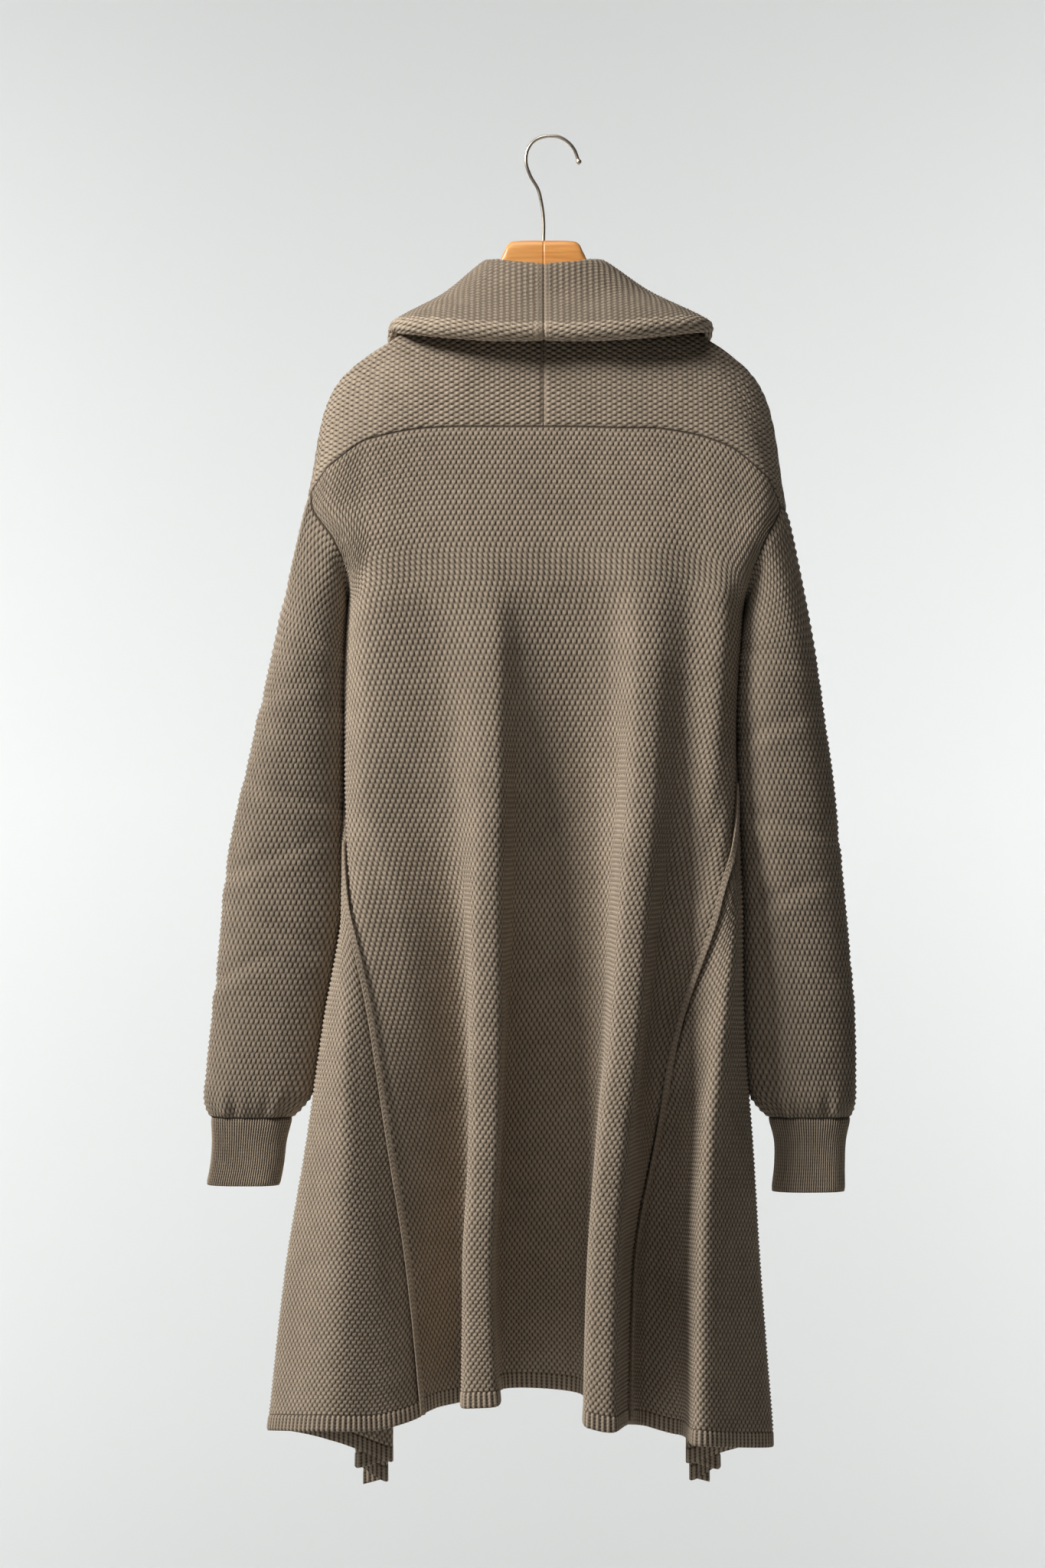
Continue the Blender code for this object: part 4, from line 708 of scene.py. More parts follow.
def moss(s, t):
    """Height of the bump stitch, from pit (-1) to bump (1)."""
    return np.cos(2 * np.pi * s) * np.cos(np.pi * (t - 0.5))


def stitch_height(s, t):
    """Bump stitch with the shallow groove between its courses."""
    return moss(s, t) - ROW_GROOVE * 0.5 * (1 + np.cos(2 * np.pi * t))


def relief(p, soft):
    """Millimetres that the stitch lifts the cloth, less where it is plain."""
    lift = np.where(p > 0, BUMP_UP * p, PIT_DOWN * p)
    return lift * (1 + SCATTER * rng.standard_normal(p.shape)) * (1 - soft)


def dipped(distance):
    """How far a sewn edge is drawn in at a distance from it."""
    return EDGE_DIP * np.exp(-(distance / EDGE_DIP_WIDTH) ** 2)


def painted_seam_shade(away):
    """How much painted shade a sewn edge gets at a distance from it, from 0 to 1."""
    return np.clip(1.1 - away / 1.1, 0, 1)


def numbers(grid):
    """Vertex numbers of a grid of points, from 0."""
    return np.arange(grid.shape[0] * grid.shape[1]).reshape(grid.shape[:2])


def both(outer, inner):
    """Values of the outer and the inner grid in one list."""
    return np.concatenate([grid.reshape(-1, *grid.shape[2:]) for grid in (outer, inner)])


def corners_of(faces):
    """All corners of groups of faces in one list."""
    return np.concatenate([group.ravel() for group in faces])


def grid_quads(grid):
    """Corners of the four-sided faces between the neighbours of a grid."""
    return np.stack([grid[:-1, :-1], grid[:-1, 1:], grid[1:, 1:], grid[1:, :-1]],
                    -1).reshape(-1, 4)


def flipped(grid, row, column, outward):
    """Whether the grid's faces look against the outward direction at (row, column)."""
    here = grid[row, column]
    turned = np.cross(grid[row, column + 1] - here, grid[row + 1, column] - here)
    return np.dot(turned, outward) < 0


def shell_faces(out, inn, closed, every):
    """Corners of a shell's outer, inner and rim faces, from its outer and inner grid."""
    down, across = every
    faces = [grid_quads(out), grid_quads(inn)[:, BACKWARD]]
    for row, turn in ((0, 1), (-1, -1)):
        far = [out[row, k::across][:inn.shape[1] - 1] for k in range(across, -1, -1)]
        faces.append(np.stack(([inn[row, :-1], inn[row, 1:]] + far)[::turn], -1))
    for column, turn in () if closed else ((0, 1), (-1, -1)):
        far = [out[k::down, column][:len(inn) - 1] for k in range(down + 1)]
        faces.append(np.stack((far + [inn[1:, column], inn[:-1, column]])[::turn], -1))
    return faces


def shell(name, mid, normal, lift, s, t, looks, every=(2, 2), closed=False, plain=None,
          zone=None, seam=None):
    """Thin closed shell: stitched outer face, plainer inner face, joined along the rims."""
    rows, columns = mid.shape[:2]
    down, across = every
    coarse = (slice(None, None, down), slice(None, None, across))
    outer = mid + normal * (FACE_OUT + lift)[..., None]
    inner = (mid - normal * FACE_IN)[coarse]
    ids, inside = numbers(outer), rows * columns + numbers(inner)
    zone = 0 * ids if zone is None else zone
    soft = np.zeros((rows, columns)) if plain is None else plain
    # Distances from sewn edges give the painted seam shade.
    sewn = np.zeros((rows, columns)) if seam is None else painted_seam_shade(seam)
    if closed:
        s = wrapped(s, columns * (s[0, 1] - s[0, 0]))
        ids, inside, t, zone = [wrapped(values) for values in (ids, inside, t, zone)]
    uv = np.column_stack([corners_of(shell_faces(values, values[coarse], closed, every))
                          for values in (s, t)])
    shades = [zone[:-1, :-1], zone[:-1:down, :-1:across], zone[0, :-1:across],
              zone[-1, :-1:across]]
    if not closed:
        shades += [zone[:-1:down, 0], zone[:-1:down, -1]]
    row, column = rows // 2, columns // 2
    return mesh_piece(name, both(outer, inner), shell_faces(ids, inside, closed, every), uv, looks,
                      flipped(outer, row, column, normal[row, column]),
                      both(soft, soft[coarse]), both(sewn, sewn[coarse]), corners_of(shades))


def mesh_piece(name, points, faces, uv, looks, flip, soft=None, sewn=None, shades=None):
    """Mesh object from groups of equal-sided faces, in metres from the frame's origin."""
    total = np.concatenate([np.full(len(group), group.shape[1]) for group in faces])
    start = np.cumsum(total) - total
    index = corners_of(faces)
    if flip:
        order = np.repeat(2 * start + total - 1, total) - np.arange(len(index))
        index, uv = index[order], uv[order]
    mesh = bpy.data.meshes.new(name)
    mesh.vertices.add(len(points))
    mesh.vertices.foreach_set("co", ((points - np.array(ARC_TOP)) * MM).ravel())
    mesh.loops.add(len(index))
    mesh.loops.foreach_set("vertex_index", index.astype(np.int32))
    mesh.polygons.add(len(total))
    mesh.polygons.foreach_set("loop_start", start.astype(np.int32))
    mesh.polygons.foreach_set("loop_total", total.astype(np.int32))
    for look in looks:
        mesh.materials.append(look)
    if shades is not None:
        mesh.polygons.foreach_set("material_index", shades.astype(np.int32))
    layer = mesh.uv_layers.new(name="stitch")
    layer.data.foreach_set("uv", uv.ravel())
    # The sewn attribute carries the painted shade along sewn edges.
    for label, values in (("plain", soft), ("sewn", sewn)):
        if values is not None:
            layer = mesh.attributes.new(label, "FLOAT", "POINT")
            layer.data.foreach_set("value", values.astype(np.float32))
    mesh.polygons.foreach_set("use_smooth", np.ones(len(total), dtype=bool))
    mesh.update(calc_edges=True)
    mesh.validate()
    piece = bpy.data.objects.new(name, mesh)
    bpy.context.scene.collection.objects.link(piece)
    return piece


def edge_distance(grid, first=True, last=True, top=True, bottom=True):
    """Distance of each grid point from the nearest of the named edges."""
    across = run_of(grid)
    down = run_of(np.swapaxes(grid, 0, 1)).T
    away = np.full(grid.shape[:2], FAR)
    for wanted, distance in ((first, across), (last, across[:, -1:] - across), (top, down),
                             (bottom, down[-1:] - down)):
        if wanted:
            away = np.minimum(away, distance)
    return away


def build_body(knit, plain_look):
    """Back and fronts with their seams' selvedge strips."""
    made = {}
    back = panel(back_point, BACK_LAST, BACK_TOP, BACK_HEM, level_courses, BACK_LAST / 2)
    back_normal = facing(normals(back["even"]), FACE_ROW, EVEN_COLUMNS // 2, (0, -1, 0))
    made["knit_back"] = cut_shell("knit_back", back, back_normal, knit)
    for side in ("left", "right"):
        _, top, hem = FRONTS[side]
        front = panel(lambda u, z, side=side: front_point(side, u, z), FRONT_LAST, top, hem,
                      even_courses, FRONT_ANCHOR)
        normal = facing(normals(front["even"]), FACE_ROW, FLAT_COLUMN, (0, 1, 0))
        name = "knit_front_" + side
        made[name] = cut_shell(name, front, normal, knit)
        made["selvedge_" + side] = seam_strip(side, back["even"], back_normal, front["even"],
                                              normal, plain_look)
    return made


def edge_normals(grid, normal, column, z):
    """Normals along one edge of a panel at the given heights."""
    order = np.argsort(grid[:, column, 2])
    known = grid[order, column, 2]
    return np.column_stack([np.interp(z, known, normal[order, column, a]) for a in range(3)])


def seam_strip(side, back, back_normal, front, front_normal, look):
    """Raised stockinette selvedge over a side seam, wider toward the hem."""
    column = 0 if side == "left" else -1
    z = np.arange(SELVEDGE_TOP[side], BACK_HEM[column] + 1.0, -STRIP_STEP)
    seam_u = np.full(len(z), 0.0 if side == "left" else BACK_LAST)
    centre = back_point(seam_u, z)
    out = unit(edge_normals(back, back_normal, column, z)
               + edge_normals(front, front_normal, 0, z))
    along = unit(np.gradient(centre, axis=0))
    across = unit(np.cross(along, out))
    count = np.arange(len(z))
    fade = np.clip(count / STRIP_START, 0, 1)
    wave = 0.25 * np.sin(count * 0.37) + 0.2 * np.sin(count * 0.113)
    half = (SEAM_WIDTH / 2 * (0.55 + 0.45 * fade) + 0.15 * wave)[:, None, None]
    angle = angles(STRIP_SIDES)
    c = bent(np.cos(angle), 0.8)
    height = np.sin(angle) * 1.25 + 0.35 * np.cos(2 * angle) * (np.sin(angle) > 0)
    base = centre + out * (STRIP_LIFT - 1.0 * (1 - fade[:, None]))
    rings = base[:, None] + across[:, None] * half * c[None, :, None] \
        + out[:, None] * height[None, :, None]
    return tube("selvedge_" + side, rings, look, 5.0, 2.0)


def tube(name, grid, look, across=4.0, down=4.0):
    """Closed rings joined into a tube with flat ends."""
    rows, columns = grid.shape[:2]
    s, t = stitch_grid(rows, columns, across, down)
    faces, s_faces, t_faces = [
        [grid_quads(wrapped(values, further)), values[:1, ::-1], values[-1:]]
        for values, further in ((numbers(grid), 0), (s, columns * (s[0, 1] - s[0, 0])), (t, 0))]
    uv = np.column_stack([corners_of(s_faces), corners_of(t_faces)])
    row = rows // 2
    flip = flipped(grid, row, 0, grid[row, 0] - grid[row].mean(axis=0))
    return mesh_piece(name, grid.reshape(-1, 3), faces, uv, [look], flip)


def along_middle(normal):
    """Normals of a half whose first column stands in the garment's middle plane."""
    normal[:, 0] = unit(normal[:, 0] * np.array((0.0, 1.0, 1.0)))
    return normal


def build_yoke(side, knit):
    """Yoke half, knitted sideways: bump columns stand upright."""
    table = YOKES[side]
    fine = np.linspace(0, YOKE_LAST, FINE * YOKE_LAST + 1)
    back_u, front_u = seam_column(side, fine, True), seam_column(side, fine, False)
    back_seam = back_point(back_u, column_value(BACK_TOP, back_u))
    front_seam = front_point(side, front_u, column_value(FRONTS[side][1], front_u))
    over = one_curve([back_seam[FINE * YOKE_BACK], SHOULDER_END[side],
                      front_seam[FINE * YOKE_FRONT]], np.clip(fine - YOKE_BACK, 0, 2))
    seam = np.where((fine <= YOKE_BACK)[:, None], back_seam,
                    np.where((fine >= YOKE_FRONT)[:, None], front_seam, over))
    run = run_of(seam)
    count = 2 * int(run[-1] / YOKE_STEP / 2) + 1
    k = np.interp(np.linspace(0, run[-1], count), run, fine)
    neck = neck_curve(side, neck_position(side, k))
    first = one_curve([row[2:5] for row in table], k)
    second = one_curve([row[5:8] for row in table], k)
    low = np.column_stack([np.interp(k, fine, seam[:, a]) for a in range(3)])
    control = np.stack([neck, first, second, low], axis=1)
    dense = np.array([through(control, np.full(count, v)) for v in np.linspace(0, 3, 61)])
    rows = 65
    grid = np.stack([evenly(dense[:, i], rows) for i in range(count)], axis=1)
    normal = along_middle(facing(normals(grid), 30, 0, (0, -1, 0)))
    flat = grid * np.array((1.0, 1.0, 0.0))
    across = run_of(flat) / YOKE_COLUMN + 0.5
    down = -grid[:, :, 2] * 1.12 / YOKE_BUMP
    away = edge_distance(grid, top=False)
    soft = np.clip(1 - away / 1.8, 0, 1)
    lift = relief(moss(down, across), soft) - dipped(away)
    # Distance from the yoke's sewn edges, for the painted seam shade.
    sewn = np.minimum(edge_distance(grid, first=False, top=False),
                      0.7 + edge_distance(grid, last=False, top=False, bottom=False))
    return shell("knit_yoke_" + side, grid, normal, lift, down, across, [knit], plain=soft,
                 seam=sewn)


def build_collar(side, moss_look, fall_painted_shade_look):
    """Shawl collar half: stand, fall and rolled edge."""
    fine_k = np.linspace(0, COLLAR_LAST, FINE * COLLAR_LAST + 1)
    values = one_curve(COLLARS[side], fine_k)
    run = run_of(values[:, 3:6])
    count = 2 * int(run[-1] / COLLAR_STEP / 2) + 1
    k = np.interp(np.linspace(0, run[-1], count), run, fine_k)
    values = one_curve(COLLARS[side], k)
    fold, middle, edge = values[:, 0:3], values[:, 3:6], values[:, 6:9]
    radius, curl = values[:, 9], np.radians(values[:, 10])
    length = unit(np.gradient(edge, axis=0)) * SIGN[side]
    length[0] = (-1.0, 0.0, 0.0)
    base = neck_curve(side, k)
    crown = unit(fold - (base + middle) / 2)
    over = middle - base
    over = unit(over - crown * np.sum(over * crown, axis=1)[:, None]) * FOLD_RADIUS
    up = middle - edge
    up = unit(up - length * np.sum(up * length, axis=1)[:, None])
    inward = np.cross(up, length)
    start = edge + inward * radius[:, None]
    above = start - up * radius[:, None]
    control = np.stack([base, fold - over, fold + over, middle, start], axis=1)
    place = np.linspace(0, 4, 81)
    rows = [through(control, np.full(count, v), after=above) for v in place]
    for step in range(1, CURL_STEPS + 1):
        angle = curl * step / CURL_STEPS
        rows.append(edge + radius[:, None] * (np.cos(angle)[:, None] * inward
                                              - np.sin(angle)[:, None] * up))
    place = np.concatenate([place, 4 + np.arange(1, CURL_STEPS + 1) / CURL_STEPS])
    dense = np.array(rows)
    count_down = 101
    profile = [evenly(np.column_stack([dense[:, i], place]), count_down) for i in range(count)]
    full = np.stack(profile, axis=1)
    grid, place = full[:, :, :3], full[:, :, 3]
    normal = along_middle(facing(normals(grid), 60, 0, (0, -1, 0)))
    along = run_of(grid)
    mean = along.mean(axis=0)[None]
    own = np.clip((7.0 - k) / 4.0, 0, 1)[None]
    across = (mean + own * (along - mean)) / FALL_COLUMN + 0.5
    down = run_of(np.swapaxes(grid, 0, 1)).T / FALL_BUMP
    away = edge_distance(grid, top=False, bottom=False, last=False)
    width = np.where(place > ROLL_FROM, ROLL_PLAIN[side], FALL_PLAIN)
    soft = np.clip((width + 1.2 - away) / 1.2, 0, 1)
    on_fall = (place > FALL_FROM) & (place <= ROLL_FROM)
    bump = moss(down, across)
    ridge = np.cos(2 * np.pi * (across - 0.5))
    fall = relief(FALL_RIDGE * ridge + FALL_MOSS * bump, soft)
    lift = np.where(on_fall, fall, relief(bump, soft))
    lift = lift - EDGE_DIP * np.exp(-(away / 0.9) ** 2)
    zone = on_fall.astype(int)
    # Faces off the fall, the stand and rolled edge, take the first look, painted lighter; the
    # fall's faces take the second, painted darker.
    return shell("knit_collar_" + side, grid, normal, lift, down, across,
                 [moss_look, fall_painted_shade_look], plain=soft, zone=zone)


def armhole_loop(side):
    """Fine loop of the armhole: shoulder end, down the back, underarm, up the front."""
    column = 0.0 if side == "left" else BACK_LAST
    back_top = BACK_TOP[int(column)]
    front_top = FRONTS[side][1][0]
    back_z = np.linspace(back_top, UNDERARM_Z, 60)
    front_z = np.linspace(UNDERARM_Z, front_top, 60)
    back = back_point(np.full(60, column), back_z)
    front = front_point(side, np.zeros(60), front_z)
    over = one_curve([back[0], SHOULDER_END[side], front[-1]], np.linspace(0, 2, 41))
    return np.vstack([over[20:0:-1], back, front[1:], over[40:20:-1]])


def lean_on_body(side, grid):
    """The sleeve's inner side rests against the body as far down as its hand-sized end."""
    out = -SIGN[side]
    heights = np.arange(-800, -370, 10.0)
    edges = []
    for z in heights:
        back = back_point(np.linspace(0, BACK_LAST, 300), np.full(300, z))
        front = front_point(side, np.linspace(0, FRONT_LAST, 300), np.full(300, z))
        edges.append(max((out * back[:, 0]).max(), (out * front[:, 0]).max()))
    outline = out * grid[:, :, 0]
    inner = outline.min(axis=1)
    z = grid[np.arange(len(grid)), outline.argmin(axis=1), 2]
    gap = inner - np.interp(z, heights, edges) - 2 * FACE_OUT + SLEEVE_OVERLAP
    fade = np.clip((z + 776) / 14.0, 0, 1) * np.clip((-372 - z) / 12.0, 0, 1)
    push = np.clip(gap, 0, 9) * fade
    push = np.convolve(np.pad(push, 4, mode="edge"), np.ones(9) / 9, mode="valid")
    near = np.exp(-((outline - inner[:, None]) / 12.0) ** 2)
    moved = grid.copy()
    moved[:, :, 0] -= out * push[:, None] * near
    return moved


def build_sleeve(side, knit):
    """Sleeve from the armhole down to the cuff, gathered at its end."""
    around = 2 * int(round(SLEEVE_ROUND / SLEEVE_WALE))
    hole = even_ring(armhole_loop(side), around)
    part = np.arange(around) / around
    inner = (1 - np.cos(part * FULL_TURN)) / 2
    lead = np.column_stack([-SIGN[side] * (LEAD_OUT[0] + LEAD_OUT[1] * inner), 0 * inner,
                            LEAD_DOWN[0] + LEAD_DOWN[1] * inner])
    rings = [hole, hole + lead]
    for section in SLEEVES[side]:
        rings.append(even_ring(ring(section, FINE_RING), around))
    control = np.stack(rings, axis=1)
    place = np.linspace(0, 10, 501)
    dense = np.array([through(control, np.full(around, v)) for v in place])
    run = run_of(dense[:, around // 4])
    courses = int(round(run[-1] / SLEEVE_COURSE))
    at = np.interp(np.linspace(0, run[-1], 2 * courses + 1), run, place)
    grid = np.array([through(control, np.full(around, v)) for v in at])
    grid = lean_on_body(side, grid)
    outside = (-SIGN[side], 0, 0)
    normal = facing(normals(grid, closed=True), 60, 0, outside)
    s, t = stitch_grid(2 * courses + 1, around)
    length = np.linspace(0, run[-1], 2 * courses + 1)[:, None]
    to_cuff = run[-1] - length
    angle = part[None] * FULL_TURN
    pucker = (np.sin(9 * angle + 0.7) + 0.7 * np.sin(14 * angle + 2.0)
              + 0.5 * np.sin(5 * angle + 4.1))
    gather = 1.0 * pucker * np.exp(-(to_cuff / 20.0) ** 2) * np.clip(to_cuff / 4.0, 0, 1)
    away = np.minimum(length, to_cuff) + 0 * part[None]
    soft = np.clip(1 - away / PLAIN_EDGE, 0, 1)
    creases = sleeve_creases(side, length, angle)
    lift = relief(stitch_height(s, t), soft) - dipped(away) + gather + creases
    # Painted shade at the armhole and cuff joins, from the distance to the sleeve's ends.
    return shell("knit_sleeve_" + side, grid, normal, lift, s, t, [knit], closed=True,
                 plain=soft, seam=away)


# Soft sleeve creases: place down the sleeve in mm, turn round it, slant, length, depth.
CREASES = {
    "left": ((70, 1.2, 0.35, 46, 1.1), (128, 0.5, -0.3, 60, 0.9), (205, 1.6, 0.25, 70, 1.2),
             (262, 0.9, -0.4, 55, 1.0), (318, 1.9, 0.5, 48, 1.3), (352, 0.4, -0.5, 42, 1.2),
             (150, 3.9, 0.3, 60, 1.0), (300, 4.4, -0.4, 60, 1.1)),
    "right": ((85, 1.8, -0.3, 52, 1.0), (150, 2.5, 0.35, 60, 1.0), (222, 1.3, -0.25, 66, 1.2),
              (280, 2.2, 0.4, 52, 1.1), (330, 1.2, -0.5, 45, 1.3), (120, 4.2, 0.3, 60, 1.0),
              (310, 4.9, 0.4, 55, 1.2)),
}


def sleeve_creases(side, length, angle):
    """Soft troughs and ridges across a sleeve."""
    total = 0 * length + 0 * angle
    for down, turn, slant, reach, depth in CREASES[side]:
        round_by = (angle - turn + math.pi) % FULL_TURN - math.pi
        line = length - down - slant * round_by * 36
        fade = np.exp(-(round_by * 36 / reach) ** 2)
        total = total - depth * fade * np.exp(-(line / 7.0) ** 2)
        total = total + 0.7 * depth * fade * np.exp(-((line - 13) / 8.0) ** 2)
    return total


def build_cuff(side, rib):
    """Fine ribbed cuff."""
    around = 4 * CUFF_RIBS
    rings = np.stack([even_ring(ring(section, FINE_RING), around) for section in CUFFS[side]],
                     axis=1)
    rows = 37
    grid = np.array([through(rings, np.full(around, v)) for v in np.linspace(0, 3, rows)])
    outside = (-SIGN[side], 0, 0)
    normal = facing(normals(grid, closed=True), 10, 0, outside)
    s, t = stitch_grid(rows, around, 4.0, 1.6)
    down = np.linspace(0, 1, rows)[:, None]
    ease = 0.5 * np.sin(np.arange(around) * FULL_TURN / around * 3 + 1.0)[None] * down
    edge = np.clip(np.minimum(down, 1 - down) / 0.06, 0, 1)
    lift = 0.45 * np.cos(2 * np.pi * s) + ease - 0.6 * (1 - edge)
    return shell("knit_cuff_" + side, grid, normal, lift - 0.15, s, t, [rib], every=(2, 4),
                 closed=True)


def build_bands(rib):
    """Ribbed bands along the lower edges."""
    made = {}
    bands = [("knit_back_hem", back_point, BACK_HEM, (0, -1, 0), BACK_LAST, 0.5)]
    for side in ("left", "right"):
        bands.append(("knit_front_hem_" + side,
                      lambda u, z, side=side: front_point(side, u, z),
                      FRONTS[side][2], (0, 1, 0), FRONT_LAST, FLAT_COLUMN / EVEN_COLUMNS))
    for name, point, hem, toward, last, flat in bands:
        u = np.linspace(0, last, 1400)
        low = column_value(hem, u)
        middle_line = point(u, low + HEM_BAND / 2)
        run = run_of(middle_line)
        ribs = int(round(run[-1] / HEM_RIB))
        at = np.interp(np.linspace(0, run[-1], 4 * ribs + 1), run, u)
        hem_z = column_value(hem, at)
        rows = 9
        down = np.linspace(0, 1, rows)
        grid = np.array([point(at, hem_z + HEM_BAND * (1 - d)) for d in down])
        normal = facing(normals(grid), 4, int(flat * grid.shape[1]), toward)
        s = stitch_grid(rows, 4 * ribs + 1, 4.0)[0]
        t = np.tile(down[:, None] * HEM_BAND / 2.6, (1, 4 * ribs + 1))
        edge = np.clip(np.minimum(down * 8, (1 - down) * 8), 0, 1)[:, None]
        lift = 0.5 * np.cos(2 * np.pi * s) - 0.8 * (1 - edge) + 0.25 * down[:, None]
        made[name] = shell(name, grid, normal, lift, s, t, [rib], every=(2, 2))
    return made


def build_wood(look):
    """Curved wooden board with a neck block, jointed in the middle."""
    table = np.array(WOOD, float)
    x = np.concatenate([[0.0, 0.35, 0.8], np.linspace(1.5, 50, 60), np.linspace(52, 161, 70)])
    top, bottom = monotone_rows(table[:, 0], table[:, 1:], x).T
    groove = JOINT_GROOVE * np.clip(1 - x / 0.8, 0, 1)
    tip = np.clip((x - WOOD_TIP_FROM) / 5.0, 0, 1)
    half = np.column_stack([x, top, bottom, ARM_HALF_THICK - groove - TIP_THINNING * tip ** 2,
                            (top - bottom) / 2 - groove - 1.2 * tip ** 2])
    mirrored = half[:0:-1].copy()
    mirrored[:, 0] *= -1
    board = np.vstack([mirrored, half])
    angle = angles(WOOD_SIDES)
    y, z = bent(np.cos(angle), WOOD_ROUNDING), bent(np.sin(angle), WOOD_ROUNDING)
    rings = [np.column_stack([np.full(WOOD_SIDES, row[0]), y * row[3],
                              (row[1] + row[2]) / 2 + z * row[4]]) for row in board]
    return tube("board", np.array(rings), look)


def build_hook(look):
    """Bent wire hook with a small ball at its tip."""
    u = np.linspace(0, len(HOOK) - 1, 120)
    line = one_curve([(x, 0.0, z) for x, z in HOOK], u)
    line = line[line[:, 2] > WOOD_TOP_Z - 8]
    heading = unit(line[-1] - line[-2])
    turn = np.radians(np.linspace(-52, 84, 14))
    ball = line[-1] + heading * HOOK_BALL_RADIUS * (1 + np.sin(turn))[:, None]
    radii = np.concatenate([np.full(len(line), WIRE_RADIUS), HOOK_BALL_RADIUS * np.cos(turn)])
    path = np.vstack([line, ball])
    tangent = unit(np.gradient(path, axis=0))
    across = unit(np.cross(tangent, (0, 1, 0)))
    lift = np.cross(across, tangent)
    angle = angles(HOOK_SIDES)[None, :, None]
    circle = across[:, None] * np.cos(angle) + lift[:, None] * np.sin(angle)
    return tube("hook", path[:, None] + circle * radii[:, None, None], look)


class Nodes:
    """Short way to make and join shader nodes."""

    def __init__(self, name):
        self.look = bpy.data.materials.new(name)
        self.look.use_nodes = True
        self.tree = self.look.node_tree
        self.shader = self.tree.nodes["Principled BSDF"]
        self.place = self.add("ShaderNodeTexCoord").outputs["Object"]

    def add(self, kind, inputs=(), **settings):
        node = self.tree.nodes.new(kind)
        for key, value in settings.items():
            setattr(node, key, value)
        for socket, value in dict(inputs).items():
            self.put(node.inputs[socket], value)
        return node

    def put(self, socket, value):
        if isinstance(value, bpy.types.NodeSocket):
            self.tree.links.new(value, socket)
        else:
            socket.default_value = value

    def math(self, operation, *values):
        node = self.add("ShaderNodeMath", operation=operation)
        for socket, value in zip(node.inputs, values):
            self.put(socket, value)
        return node.outputs[0]

    def plus(self, a, b):
        return self.math("ADD", a, b)

    def less(self, a, b):
        return self.math("SUBTRACT", a, b)

    def times(self, a, b):
        return self.math("MULTIPLY", a, b)

    def wave(self, value, turn=FULL_TURN):
        return self.math("COSINE", self.times(value, turn))

    def ramp(self, value, low, high, to_low=0.0, to_high=1.0):
        node = self.add("ShaderNodeMapRange", {0: value, 1: low, 2: high, 3: to_low, 4: to_high})
        return node.outputs[0]

    def mix(self, factor, a, b, kind="RGBA", first=6):
        """Mix of two colours, or of two numbers with kind FLOAT, whose sockets start at 2."""
        node = self.add("ShaderNodeMix", data_type=kind)
        for socket, value in ((0, factor), (first, a), (first + 1, b)):
            self.put(node.inputs[socket], value)
        return node.outputs[2 if kind == "RGBA" else 0]

    def noise(self, scale, detail=2.0, roughness=0.5, stretch=None):
        """Noise over the object, stretched along its axes where asked."""
        place = self.place
        if stretch is not None:
            place = self.add("ShaderNodeMapping", {"Vector": place, "Scale": stretch}).outputs[0]
        node = self.add("ShaderNodeTexNoise", {"Vector": place, "Scale": scale,
                                               "Detail": detail, "Roughness": roughness})
        return node.outputs["Fac"]

    def bump(self, height, strength, distance):
        node = self.add("ShaderNodeBump", {"Height": height, "Strength": strength,
                                           "Distance": distance})
        return node.outputs[0]

    def finished(self, inputs):
        """The look, with the named inputs of its shader set or joined."""
        for name, value in inputs.items():
            self.put(self.shader.inputs[name], value)
        return self.look


YARN = (0.345, 0.275, 0.205, 1)
# Painted light on the tops of the stitches' bumps
YARN_PAINTED_LIGHT = (0.56, 0.465, 0.36, 1)
# Painted shade for the pits of the stitches and for sewn edges
YARN_PAINTED_SHADE = (0.05, 0.036, 0.026, 1)
PIT_POWER = 2.4            # how narrow the pits between the bumps are, in the bump and in their painted shade


